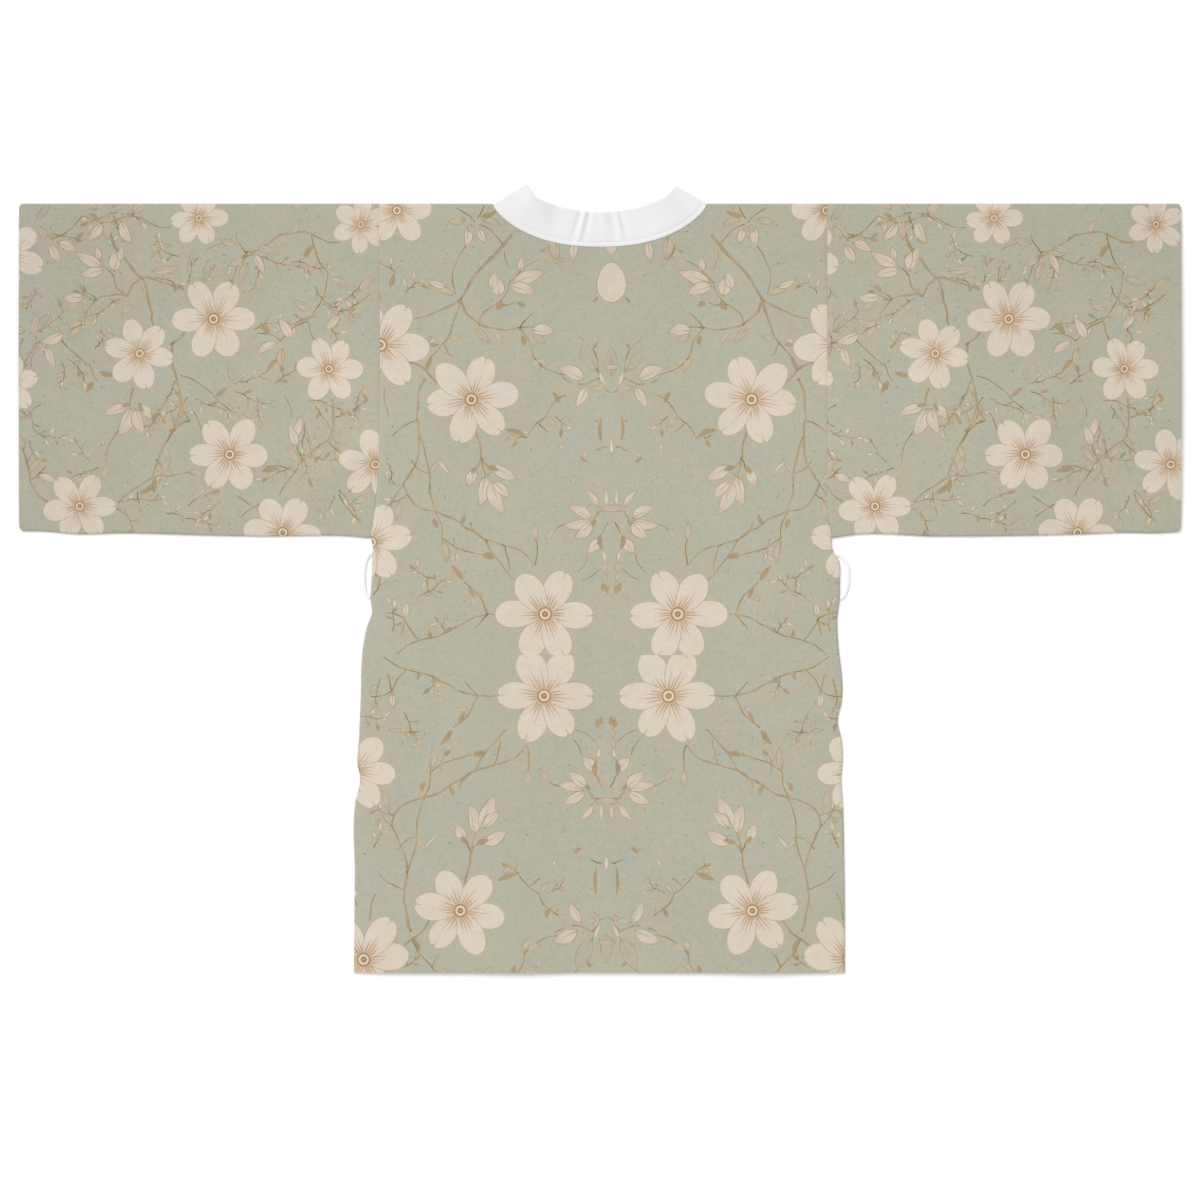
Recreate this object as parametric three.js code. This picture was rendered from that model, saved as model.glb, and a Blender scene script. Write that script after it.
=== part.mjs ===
// A short kimono robe laid flat on its front, with the back panel uppermost.
// Millimetres. +Z is up from the surface it lies on, +Y points to the neck, and +X to the right from above.
// Seen so, the wearer's left is at -X. Drops are measured down from the shoulder line, towards the hem.
import * as THREE from "three";

// Cloth
const WALL = 1.2; // one layer of cloth
const BAND_WALL = 2.0; // the neckband, which is folded double
const LOOP_WALL = 1.5; // a belt loop's thickness
const SEAM_GAP = 0.3; // between pieces that are sewn together

// Cut
const SHOULDER_Y = 412; // shoulder line, and the fold along the top of each sleeve
const BODY_LENGTH = 846; // shoulder line to hem
const UNDERARM_DROP = 368;
const CUFF_X = 639; // from the centre line to each cuff
const CUFF_CORNER = 6; // radius of the cuffs' corners
const NECK_HALF = 118.5; // from the centre line to each neck point, where shoulder and neckline meet
const NECK_DROP = 48; // depth of the back neckline
const NECK_SCOOP = { flat: 2.35, steep: 0.72 }; // the neckline's powers, for its middle and for its ends
const BAND_WIDTH = 40;
const FRONT_EDGE_X = 41; // from the centre line to the straight stretch of a front's sewn edge
const FRONT_CURVE_DROP = 260; // where that edge leaves the straight and turns to the neck point
const FRONT_CURVE_POWER = 1.25;
const LOOP_STRIP = 4.2; // a belt loop's width

// The body's edges. The armhole seams end at the underarm, and the side seams run from there to the hem.
const BODY_EDGES = [
  { drop: 0, left: -243, right: 250 },
  { drop: 250, left: -243, right: 250 },
  { drop: 310, left: -245, right: 250 },
  { drop: 345, left: -249, right: 251 },
  { drop: 368, left: -252, right: 255 },
  { drop: 378, left: -250, right: 255 },
  { drop: 393, left: -251, right: 263 },
  { drop: 415, left: -251.5, right: 264 },
  { drop: 437, left: -252.5, right: 263.5 },
  { drop: 450, left: -251, right: 261.5 },
  { drop: 464, left: -256, right: 261 },
  { drop: 482, left: -260, right: 262 },
  { drop: 547, left: -263.5, right: 266 },
  { drop: 569, left: -264.5, right: 261.5 },
  { drop: 591, left: -265.5, right: 266 },
  { drop: 613, left: -267.5, right: 267 },
  { drop: 633, left: -264, right: 265.5 },
  { drop: 657, left: -269, right: 267 },
  { drop: 740, left: -270, right: 269 },
  { drop: 846, left: -271, right: 269.5 },
];

// The sleeves' lower edges: depth below the shoulder line, from the armhole (reach 0) to the cuff (reach 1).
const SLEEVE_DEPTHS = [
  { reach: 0, left: 368, right: 368 },
  { reach: 0.06, left: 366, right: 364.5 },
  { reach: 0.3, left: 366, right: 366 },
  { reach: 0.5, left: 364.5, right: 365.5 },
  { reach: 0.7, left: 362.5, right: 364 },
  { reach: 0.84, left: 363.5, right: 362 },
  { reach: 0.93, left: 360.5, right: 362.5 },
  { reach: 1, left: 360, right: 361 },
];

// Soft folds of the upper cloth. A fold lies at x, y and runs at turn degrees from +X. At length along it and
// at width across it, it has died away to a third. A negative rise is a hollow.
const SOFT_FOLDS = [
  { x: 0, y: 372, turn: 90, length: 60, width: 30, rise: -2.2 },
  { x: -622, y: 250, turn: 90, length: 95, width: 42, rise: 1.9 },
  { x: -560, y: 125, turn: 72, length: 95, width: 24, rise: 1.7 },
  { x: -470, y: 330, turn: 8, length: 120, width: 20, rise: 1.2 },
  { x: -455, y: 165, turn: 118, length: 110, width: 26, rise: 1.9 },
  { x: -352, y: 232, turn: 64, length: 120, width: 24, rise: 1.6 },
  { x: -290, y: 118, turn: 38, length: 70, width: 15, rise: 1.5 },
  { x: -188, y: 354, turn: -34, length: 34, width: 9, rise: 1.1 },
  { x: -176, y: 205, turn: 74, length: 130, width: 27, rise: 1.8 },
  { x: -205, y: 60, turn: 48, length: 62, width: 13, rise: 1.4 },
  { x: -214, y: -52, turn: 12, length: 44, width: 11, rise: 1.2 },
  { x: -150, y: -205, turn: 82, length: 150, width: 30, rise: 2.0 },
  { x: -228, y: -232, turn: -14, length: 40, width: 12, rise: 1.1 },
  { x: -92, y: -404, turn: 88, length: 90, width: 38, rise: 1.7 },
  { x: 22, y: 150, turn: 96, length: 140, width: 34, rise: 1.3 },
  { x: 96, y: -96, turn: 101, length: 165, width: 31, rise: 1.9 },
  { x: 178, y: -398, turn: 93, length: 95, width: 36, rise: 1.9 },
  { x: 214, y: -158, turn: 16, length: 46, width: 11, rise: 1.2 },
  { x: 216, y: 44, turn: 128, length: 66, width: 13, rise: 1.5 },
  { x: 222, y: 360, turn: 3, length: 36, width: 8, rise: 1.0 },
  { x: 190, y: 226, turn: 103, length: 125, width: 25, rise: 1.7 },
  { x: 302, y: 122, turn: 141, length: 72, width: 15, rise: 1.4 },
  { x: 366, y: 268, turn: 112, length: 105, width: 26, rise: 1.8 },
  { x: 474, y: 146, turn: 66, length: 115, width: 24, rise: 1.8 },
  { x: 512, y: 336, turn: -6, length: 110, width: 19, rise: 1.1 },
  { x: 620, y: 205, turn: 88, length: 100, width: 44, rise: 2.0 },
];
const REST_RISE = 1.6; // how far the upper cloth stands off the lower, away from its seams
const EDGE_FADE = 22; // how far from a closed edge that takes
const NECK_STACK = { rise: 1.2, reach: 35 }; // extra rise at the neck points, over the neckband's folds

// The neckband's stretch across the back
const TIPS = { left: [-82, 434], right: [83, 432] }; // where its folds' creases end, at the free edge
const KINK = { sewn: 90, free: 73, above: 7.5 }; // the ridge beside each fold, and how far its end rises
const FREE_EDGE_DROP = 9.2; // free edge below the shoulder line, at the centre
const RIDGE = { low: 1.3, high: 4.7, reach: 22 }; // free edge's height at the centre, its rise at the ridge
const FOLD_GAP = 0.6; // between the two layers inside a fold
const RIPPLES = [
  { sewn: -53, free: -48, width: 9, rise: -0.7 },
  { sewn: -33, free: -21, width: 3.6, rise: -1.2 },
  { sewn: -26, free: -16, width: 2.6, rise: 0.9 },
  { sewn: -20, free: -11, width: 3.6, rise: -1.2 },
  { sewn: 7, free: 4, width: 4.5, rise: 0.6 },
  { sewn: 20, free: 12, width: 3.6, rise: -1.2 },
  { sewn: 27, free: 17, width: 2.6, rise: 0.9 },
  { sewn: 34, free: 22, width: 3.6, rise: -1.2 },
  { sewn: 55, free: 48, width: 9, rise: -0.7 },
];

// The belt loops, from the upper end to the lower end, each parted from its side seam by a gap at its middle.
const BELT_LOOPS = [
  { name: "belt_loop_left", side: "left", top: 387, bottom: 431, gap: 6.4 },
  { name: "belt_loop_right", side: "right", top: 388, bottom: 432, gap: 6.8 },
];

// How finely the walls are divided
const ARMHOLE_ROWS = 10; // underarm up to the shoulder, alike on the body and the sleeves
const SIDE_ROWS = 16; // hem up to the underarm
const SHOULDER_COLUMNS = 4;
const NECK_COLUMNS = 14;
const FRONT_COLUMNS = 4;
const SLEEVE_STATIONS = 12;
const EDGE_STEPS = 4; // round each turned edge of a sleeve
const BAND_COLUMNS = 4;
const BAND_STEPS = { straight: 7, fold: 5, slope: 3, side: 7, middle: 26 };
const LOOP_STEPS = 16;

const CLOTH = { color: 0xb3b6a3, roughness: 0.9, metalness: 0 };
const WHITE = { color: 0xf1f1f0, roughness: 0.85, metalness: 0 };

const lerp = THREE.MathUtils.lerp;
const clamp = THREE.MathUtils.clamp;
const bell = (distance, reach) => Math.exp(-((distance / reach) ** 2));
const steps = (count) => Array.from({ length: count + 1 }, (_, i) => i / count);

// The number of the station that ends the span which holds a value.
function spanEnd(stations, at) {
  const passed = stations.filter((station) => station < at).length;
  return clamp(passed, 1, stations.length - 1);
}

// A smooth curve through one column of a table, read at a value of its key column.
function readTable(rows, key, column, at) {
  const last = rows.length - 1;
  const i = spanEnd(rows.map((row) => row[key]), at);
  const slope = (k) => {
    const before = rows[Math.max(k - 1, 0)];
    const after = rows[Math.min(k + 1, last)];
    return (after[column] - before[column]) / (after[key] - before[key]);
  };
  const [a, b] = [rows[i - 1], rows[i]];
  const step = b[key] - a[key];
  const t = clamp((at - a[key]) / step, 0, 1);
  const ease = t * t * (3 - 2 * t);
  const bend = step * (t * (1 - t) ** 2 * slope(i - 1) - t * t * (1 - t) * slope(i));
  return lerp(a[column], b[column], ease) + bend;
}

// A curve as the walls divide it: straight between its stations, which go upwards.
function divided(stations, curve, at) {
  const i = spanEnd(stations, at);
  const [a, b] = [stations[i - 1], stations[i]];
  return lerp(curve(a), curve(b), (at - a) / (b - a));
}

// Drops of the body's rows, which its seams share. One row lies at the underarm.
const BODY_DROPS = [
  ...steps(ARMHOLE_ROWS).map((s) => s * UNDERARM_DROP),
  ...steps(SIDE_ROWS).slice(1).map((s) => lerp(UNDERARM_DROP, BODY_LENGTH, s)),
];
const bodyEdge = (side, drop) =>
  divided(BODY_DROPS, (at) => readTable(BODY_EDGES, "drop", side, at), drop);

// The lower edge of a sleeve, as a Y, at a distance x from the centre line.
function sleeveBottom(side, x) {
  const armhole = Math.abs(bodyEdge(side, UNDERARM_DROP));
  const reach = (Math.abs(x) - armhole) / (CUFF_X - armhole);
  return SHOULDER_Y - readTable(SLEEVE_DEPTHS, "reach", side, reach);
}

// Depth of the back neckline below the shoulder line. The back and the neckband share its stations.
const NECK_STATIONS = steps(NECK_COLUMNS).map((s) => -NECK_HALF * Math.cos(Math.PI * s));
function necklineDrop(x) {
  const scoop = (at) => {
    const share = Math.min(Math.abs(at) / NECK_HALF, 1);
    return NECK_DROP * (1 - share ** NECK_SCOOP.flat) ** NECK_SCOOP.steep;
  };
  return Math.abs(x) < NECK_HALF ? divided(NECK_STATIONS, scoop, x) : 0;
}

// Distance from the nearest edge where upper and lower cloth are joined, at the top and at the bottom.
function edgeDistances(x, y) {
  const drop = SHOULDER_Y - y;
  const top = Math.hypot(Math.max(0, NECK_HALF - Math.abs(x)), drop);
  const side = x < 0 ? "left" : "right";
  const inside = Math.abs(bodyEdge(side, Math.max(drop, UNDERARM_DROP))) - Math.abs(x);
  if (drop > UNDERARM_DROP) return [top, inside];
  const bottom = inside > 0 ? Math.hypot(inside, UNDERARM_DROP - drop) : y - sleeveBottom(side, x);
  return [top, bottom];
}

// Height of the upper cloth's underside.
function lift(x, y) {
  const turned = WALL + SEAM_GAP / 2; // the radius at which the cloth turns over at a closed edge
  const fade = edgeDistances(x, y)
    .map((distance) => 1 - Math.exp(-Math.max(0, distance - turned) / EDGE_FADE))
    .reduce((a, b) => a * b);
  const rise = SOFT_FOLDS.reduce((sum, fold) => {
    const turn = THREE.MathUtils.degToRad(fold.turn);
    const [dx, dy] = [x - fold.x, y - fold.y];
    const along = dx * Math.cos(turn) + dy * Math.sin(turn);
    const across = dy * Math.cos(turn) - dx * Math.sin(turn);
    return sum + fold.rise * bell(along, fold.length) * bell(across, fold.width);
  }, REST_RISE);
  const fromNeckPoint = Math.hypot(Math.abs(x) - NECK_HALF, y - SHOULDER_Y);
  return WALL + SEAM_GAP + fade * rise + NECK_STACK.rise * bell(fromNeckPoint, NECK_STACK.reach);
}

// A closed wall of cloth between two grids of points. Each row is a list of { outer, inner } pairs.
// In a ring each row closes on itself. Otherwise its two ends get an edge as well.
function clothWall(rows, isRing = false) {
  const [count, size] = [rows.length, rows[0].length];
  const points = [
    ...rows.flat().map((pair) => pair.outer),
    ...rows.flat().map((pair) => pair.inner),
  ];
  const index = [];
  const outer = (i, j) => i * size + (j % size);
  const inner = (i, j) => count * size + outer(i, j);
  const quad = (a, b, c, d) => index.push(a, b, c, a, c, d);
  const spans = isRing ? size : size - 1;
  const end = count - 1;
  for (let j = 0; j < spans; j += 1) {
    for (let i = 0; i < end; i += 1) {
      quad(outer(i, j), outer(i + 1, j), outer(i + 1, j + 1), outer(i, j + 1));
      quad(inner(i, j), inner(i, j + 1), inner(i + 1, j + 1), inner(i + 1, j));
    }
    quad(outer(0, j), outer(0, j + 1), inner(0, j + 1), inner(0, j));
    quad(outer(end, j + 1), outer(end, j), inner(end, j), inner(end, j + 1));
  }
  for (let i = 0; i < end && !isRing; i += 1) {
    quad(outer(i + 1, 0), outer(i, 0), inner(i, 0), inner(i + 1, 0));
    quad(outer(i, spans), outer(i + 1, spans), inner(i + 1, spans), inner(i, spans));
  }
  return faceOutwards(points, index);
}

// An indexed geometry whose faces all point out of the solid.
function faceOutwards(points, index) {
  let volume = 0;
  for (let i = 0; i < index.length; i += 3) {
    const [a, b, c] = index.slice(i, i + 3).map((k) => points[k]);
    volume += a.dot(new THREE.Vector3().crossVectors(b, c));
  }
  const geometry = new THREE.BufferGeometry().setFromPoints(points);
  geometry.setIndex(volume < 0 ? index.reverse() : index);
  geometry.computeVertexNormals();
  return geometry;
}

// A patch that fills four edges: two read by u at its bottom and top, two read by v at its left and right.
function patch(bottom, top, left, right, u, v) {
  const corner = (a, b) => a.clone().multiplyScalar(1 - u).addScaledVector(b, u);
  const ruled = bottom(u).multiplyScalar(1 - v).addScaledVector(top(u), v);
  const crossed = left(v).multiplyScalar(1 - u).addScaledVector(right(v), u);
  const [below, above] = [corner(left(0), right(0)), corner(left(1), right(1))];
  return ruled.add(crossed).sub(below.multiplyScalar(1 - v).addScaledVector(above, v));
}

// Rows of the body panels, as shares of the way from hem to shoulder.
const bodyRows = () => BODY_DROPS.map((drop) => 1 - drop / BODY_LENGTH).reverse();
const dropOf = (v) => BODY_LENGTH * (1 - v);
const planPoint = (x, drop) => new THREE.Vector2(x, SHOULDER_Y - drop);
const inBy = (side) => (side === "left" ? SEAM_GAP / 2 : -SEAM_GAP / 2);
const sideEdge = (side, v) => planPoint(bodyEdge(side, dropOf(v)) + inBy(side), dropOf(v));

// The back panel, which lies over the fronts from side seam to side seam.
function backGeometry() {
  const [left, right] = ["left", "right"].map((side) => bodyEdge(side, 0) + inBy(side));
  const shoulders = steps(SHOULDER_COLUMNS);
  const topXs = [
    ...shoulders.map((s) => lerp(left, -NECK_HALF, s)),
    ...NECK_STATIONS.slice(1),
    ...shoulders.slice(1).map((s) => lerp(NECK_HALF, right, s)),
  ];
  const [hemLeft, hemRight] = [sideEdge("left", 0), sideEdge("right", 0)];
  const hem = (u) => hemLeft.clone().lerp(hemRight, u);
  const topEdge = (u) => {
    const x = lerp(left, right, u);
    return planPoint(x, necklineDrop(x));
  };
  const rows = bodyRows().map((v) =>
    topXs.map((topX) => {
      const u = (topX - left) / (right - left);
      const at = patch(hem, topEdge, (s) => sideEdge("left", s), (s) => sideEdge("right", s), u, v);
      const z = lift(at.x, at.y);
      return { outer: new THREE.Vector3(at.x, at.y, z + WALL), inner: new THREE.Vector3(at.x, at.y, z) };
    }),
  );
  return clothWall(rows);
}

// A front's sewn edge: straight up from the hem, then curving out to the neck point.
function frontEdgeX(drop) {
  const share = (at) => Math.max(0, 1 - at / FRONT_CURVE_DROP);
  const curve = (at) => FRONT_EDGE_X + (NECK_HALF - FRONT_EDGE_X) * share(at) ** FRONT_CURVE_POWER;
  return divided(BODY_DROPS, curve, drop);
}

// A front panel, flat on the surface from its side seam to its sewn front edge.
function frontGeometry(side) {
  const hand = side === "left" ? -1 : 1;
  const rows = bodyRows().map((v) => {
    const outside = sideEdge(side, v);
    const centre = planPoint(hand * (frontEdgeX(dropOf(v)) + SEAM_GAP / 2), dropOf(v));
    return steps(FRONT_COLUMNS).map((u) => {
      const at = outside.clone().lerp(centre, u);
      return { outer: new THREE.Vector3(at.x, at.y, 0), inner: new THREE.Vector3(at.x, at.y, WALL) };
    });
  });
  return clothWall(rows);
}

// A sleeve, cut in one piece: folded along the top, seamed along the bottom, open at the cuff and armhole.
function sleeveGeometry(side) {
  const hand = side === "left" ? -1 : 1;
  const turn = WALL + SEAM_GAP / 2; // outer radius of its turned edges
  const roundCorner = (inset) => {
    const into = Math.max(0, CUFF_CORNER - inset);
    return CUFF_CORNER - Math.sqrt(CUFF_CORNER ** 2 - into ** 2);
  };
  const ring = (reach) => {
    const armhole = Math.abs(bodyEdge(side, UNDERARM_DROP));
    const bottom = sleeveBottom(side, lerp(armhole, CUFF_X, reach));
    const place = (y, outerZ, innerY, innerZ) => {
      const inset = Math.min(y - bottom, SHOULDER_Y - y);
      const seam = Math.abs(bodyEdge(side, Math.min(SHOULDER_Y - y, UNDERARM_DROP))) + SEAM_GAP / 2;
      const x = hand * lerp(seam, CUFF_X - roundCorner(inset), reach);
      return { outer: new THREE.Vector3(x, y, outerZ), inner: new THREE.Vector3(x, innerY, innerZ) };
    };
    const across = [
      bottom + turn,
      bottom + CUFF_CORNER,
      ...steps(ARMHOLE_ROWS).slice(1, -1).map((s) => lerp(bottom, SHOULDER_Y, s)),
      SHOULDER_Y - CUFF_CORNER,
      SHOULDER_Y - turn,
    ];
    const lower = across.map((y) => place(y, 0, y, WALL));
    const upper = across
      .reverse()
      .map((y) => {
        const x = hand * lerp(armhole, CUFF_X, reach);
        const z = lift(x, y);
        return place(y, z + WALL, y, z);
      });
    const turned = (centreY, out) =>
      steps(EDGE_STEPS)
        .slice(1, -1)
        .map((s) => {
          const angle = Math.PI * (s - 0.5) * out;
          const [c, n] = [Math.cos(angle) * out, Math.sin(angle)];
          const hollow = SEAM_GAP / 2;
          return place(centreY + turn * c, turn + turn * n, centreY + hollow * c, turn + hollow * n);
        });
    return [...lower, ...turned(SHOULDER_Y - turn, 1), ...upper, ...turned(bottom + turn, -1)];
  };
  return clothWall(steps(SLEEVE_STATIONS).map(ring), true);
}

// One cross-section of the neckband, from its sewn edge to its free edge, as pairs of points on its faces.
function bandSection(sewn, free, middleZ, normal) {
  const along = free.clone().sub(sewn).normalize().multiplyScalar(SEAM_GAP);
  const start = sewn.clone().add(along);
  return steps(BAND_COLUMNS).map((w) => {
    const at = start.clone().lerp(free, w);
    const middle = new THREE.Vector3(at.x, at.y, middleZ(w));
    const half = normal.clone().multiplyScalar(BAND_WALL / 2);
    return { outer: middle.clone().add(half), inner: middle.clone().sub(half) };
  });
}

// The band down one front, flat on the surface, from the hem up to its fold at the neck point.
function frontBand(side) {
  const hand = side === "left" ? -1 : 1;
  const neckPoint = planPoint(hand * NECK_HALF, 0);
  const foldWay = new THREE.Vector2(...TIPS[side]).sub(neckPoint);
  const straight = steps(BAND_STEPS.straight).map((s) => lerp(BODY_LENGTH, UNDERARM_DROP, s));
  const curve = steps(2 * ARMHOLE_ROWS).map((s) => lerp(UNDERARM_DROP, 0, s));
  return [...straight, ...curve.slice(1, -1)].map((drop) => {
    const sewn = planPoint(hand * frontEdgeX(drop), drop);
    const slant = (frontEdgeX(drop - 1) - frontEdgeX(drop + 1)) / 2;
    const across = new THREE.Vector2(-hand, slant).normalize().multiplyScalar(BAND_WIDTH);
    across.lerp(foldWay, bell(drop, BAND_WIDTH));
    return bandSection(sewn, sewn.clone().add(across), () => BAND_WALL / 2, new THREE.Vector3(0, 0, -1));
  });
}

// The fold at a neck point, where the band turns over from the front to the back about its crease.
function bandFold(side) {
  const hand = side === "left" ? -1 : 1;
  const neckPoint = planPoint(hand * NECK_HALF, 0);
  const tip = new THREE.Vector2(...TIPS[side]);
  const crease = tip.clone().sub(neckPoint).normalize();
  const out = new THREE.Vector2(hand * Math.abs(crease.y), Math.abs(crease.x));
  const middleRadius = (BAND_WALL + FOLD_GAP) / 2;
  const outerRadius = middleRadius + BAND_WALL / 2;
  return steps(BAND_STEPS.fold).map((s) => {
    const angle = Math.PI * (s - 0.5);
    const shift = out.clone().multiplyScalar(middleRadius * Math.cos(angle) - outerRadius);
    const z = outerRadius + middleRadius * Math.sin(angle);
    const normal = new THREE.Vector3(out.x * Math.cos(angle), out.y * Math.cos(angle), Math.sin(angle));
    return bandSection(neckPoint.clone().add(shift), tip.clone().add(shift), () => z, normal);
  });
}

// The free edge of the band across the back, as a point and the height of its underside.
function freeEdge(sewnX) {
  const side = sewnX < 0 ? "left" : "right";
  const hand = Math.sign(sewnX);
  const slope = clamp((Math.abs(sewnX) - KINK.sewn) / (NECK_HALF - KINK.sewn), 0, 1);
  const x = clamp((Math.abs(sewnX) * KINK.free) / KINK.sewn, 0, KINK.free);
  const y = SHOULDER_Y - FREE_EDGE_DROP + (KINK.above + FREE_EDGE_DROP) * (x / KINK.free) ** 2;
  const point = new THREE.Vector2(hand * x, y).lerp(new THREE.Vector2(...TIPS[side]), slope);
  const ridge = RIDGE.low + RIDGE.high * bell(x - KINK.free, RIDGE.reach);
  return { point, z: lerp(ridge, BAND_WALL + FOLD_GAP, slope * slope * (3 - 2 * slope)) };
}

// The band across the back, from one fold to the other, with its ridges and ripples.
function backBand() {
  const stretch = (from, to, count) => steps(count).slice(1).map((s) => lerp(from, to, s));
  const middle = KINK.sewn / 2;
  const half = [
    ...stretch(NECK_HALF, KINK.sewn, BAND_STEPS.slope),
    ...stretch(KINK.sewn, middle, BAND_STEPS.side),
  ];
  const stations = [
    ...half.map((x) => -x),
    ...stretch(-middle, middle, BAND_STEPS.middle).slice(0, -1),
    ...half.reverse(),
  ];
  return stations.map((x) => {
    const sewn = planPoint(x, necklineDrop(x));
    const free = freeEdge(x);
    const sewnZ = lift(sewn.x, sewn.y);
    const ripple = (w) =>
      RIPPLES.reduce((sum, row) => {
        const centre = lerp(row.sewn, (row.free * KINK.sewn) / KINK.free, w);
        return sum + row.rise * bell(x - centre, row.width);
      }, 0) * Math.min(1, 2 * w);
    const z = (w) => lerp(sewnZ, free.z, w) + ripple(w) + BAND_WALL / 2;
    return bandSection(sewn, free.point, z, new THREE.Vector3(0, 0, 1));
  });
}

// The whole neckband: up one front, over its fold, across the back, over the other fold and down that front.
function neckbandGeometry() {
  return clothWall([
    ...frontBand("left"),
    ...bandFold("left"),
    ...backBand(),
    ...bandFold("right").reverse(),
    ...frontBand("right").reverse(),
  ]);
}

// A belt loop: a narrow flat strip that leaves the side seam, bows outwards and comes back to it.
function beltLoopGeometry({ side, top, bottom, gap }) {
  const hand = side === "left" ? -1 : 1;
  const [middle, halfHeight] = [(top + bottom) / 2, (bottom - top) / 2];
  const seam = (drop) => Math.abs(bodyEdge(side, drop));
  const clear = SEAM_GAP + Math.max(seam(top - LOOP_STRIP), seam(top)) - seam(top);
  const rows = steps(LOOP_STEPS).map((s) => {
    const angle = Math.PI * (s - 0.5);
    return [0, LOOP_STRIP].map((width) => {
      const x = seam(middle + halfHeight * Math.sin(angle)) + clear + (gap + width) * Math.cos(angle);
      const y = SHOULDER_Y - middle - (halfHeight + width) * Math.sin(angle);
      return {
        outer: new THREE.Vector3(hand * x, y, LOOP_WALL),
        inner: new THREE.Vector3(hand * x, y, 0),
      };
    });
  });
  return clothWall(rows);
}

const robe = new THREE.Group();

function addPiece(name, geometry, finish) {
  const mesh = new THREE.Mesh(geometry, new THREE.MeshStandardMaterial(finish));
  mesh.name = name;
  robe.add(mesh);
}

addPiece("back", backGeometry(), CLOTH);
for (const side of ["left", "right"]) {
  addPiece(`front_${side}`, frontGeometry(side), CLOTH);
  addPiece(`sleeve_${side}`, sleeveGeometry(side), CLOTH);
}
addPiece("neckband", neckbandGeometry(), WHITE);
for (const loop of BELT_LOOPS) {
  addPiece(loop.name, beltLoopGeometry(loop), WHITE);
}

export default robe;
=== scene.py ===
"""A short kimono robe laid flat on its front: its printed cloth, white neckband and belt loops.

Plan sizes are in millimetres and become metres where a mesh is made. +X is right, +Y points to the neck
and +Z up from the floor. Drops are measured down from the shoulder line. Each printed piece is one closed
shell. Its outer face is divided along the print, and each corner of that face carries the ink under it and
the painted shade on it.
"""

import math
import random
from collections import namedtuple

import bpy
import numpy as np
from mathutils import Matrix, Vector
from mathutils.geometry import delaunay_2d_cdt

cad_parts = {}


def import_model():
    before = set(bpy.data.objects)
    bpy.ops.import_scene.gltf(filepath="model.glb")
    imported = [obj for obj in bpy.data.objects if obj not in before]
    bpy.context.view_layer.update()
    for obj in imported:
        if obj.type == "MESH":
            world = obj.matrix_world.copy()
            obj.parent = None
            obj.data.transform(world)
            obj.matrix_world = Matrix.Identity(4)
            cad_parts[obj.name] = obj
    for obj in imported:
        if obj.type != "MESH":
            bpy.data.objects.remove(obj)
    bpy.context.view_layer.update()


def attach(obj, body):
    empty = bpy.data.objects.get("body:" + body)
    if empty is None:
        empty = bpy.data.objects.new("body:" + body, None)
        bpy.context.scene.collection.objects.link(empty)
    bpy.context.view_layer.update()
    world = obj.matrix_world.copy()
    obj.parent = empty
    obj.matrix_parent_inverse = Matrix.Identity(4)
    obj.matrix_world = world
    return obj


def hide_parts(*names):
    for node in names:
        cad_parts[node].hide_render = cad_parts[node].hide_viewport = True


MM = 0.001

# Cut
SHOULDER_Y = 412.0
BODY_LENGTH = 846.0
UNDERARM_DROP = 368.0
CUFF_X = 639.0
CUFF_CORNER = 6.0
NECK_HALF = 118.5
NECK_DROP = 48.0
NECK_SCOOP = (2.35, 0.72)  # the neckline's powers: flat across the middle, steep at its ends
BAND_WIDTH = 40.0
FRONT_EDGE_X = 41.0
FRONT_CURVE_DROP = 260.0
FRONT_CURVE_POWER = 1.25
LOOP_STRIP = 4.2
LOOP_EDGE = 0.4  # how far the belt loops' corners are cut off
LOOP_DIP = 0.18  # the hollow along a belt loop's upper face

# Cloth
WALL = 1.2  # the frame's wall for one layer
CLOTH = 0.6  # printed cloth
HEM_CLOTH = 1.1  # printed cloth where a hem is turned in
HEM_DEPTH = 18.0
HEM_FADE = 3.0  # the length over which a hem's inner layer ends
BAND_WALL = 2.0
LOOP_WALL = 1.5
SEAM_GAP = 0.3
SEAM_SHOWN = 0.05  # how far each piece of cloth stops short of its seam line
TURN = WALL + SEAM_GAP / 2  # outer radius of a turned edge
TURNS_TAKE = 2 * TURN * (math.pi / 2 - 1)  # cloth that a sleeve's two turned edges take up
LAYER_CLEARANCE = 0.08  # least gap between the back's cloth and a front's


def table(kind, *rows):
    return [kind(*row) for row in rows]


Edge = namedtuple("Edge", "drop left right")
BODY_EDGES = table(
    Edge,
    (0, -243, 250), (250, -243, 250), (310, -245, 250), (345, -249, 251), (368, -252, 255),
    (378, -250, 255), (393, -251, 263), (415, -251.5, 264), (437, -252.5, 263.5), (450, -251, 261.5),
    (464, -256, 261), (482, -260, 262), (547, -263.5, 266), (569, -264.5, 261.5), (591, -265.5, 266),
    (613, -267.5, 267), (633, -264, 265.5), (657, -269, 267), (740, -270, 269), (846, -271, 269.5),
)

Depth = namedtuple("Depth", "reach left right")
SLEEVE_DEPTHS = table(
    Depth,
    (0, 368, 368), (0.06, 366, 364.5), (0.3, 366, 366), (0.5, 364.5, 365.5), (0.7, 362.5, 364),
    (0.84, 363.5, 362), (0.93, 360.5, 362.5), (1, 360, 361),
)

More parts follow.
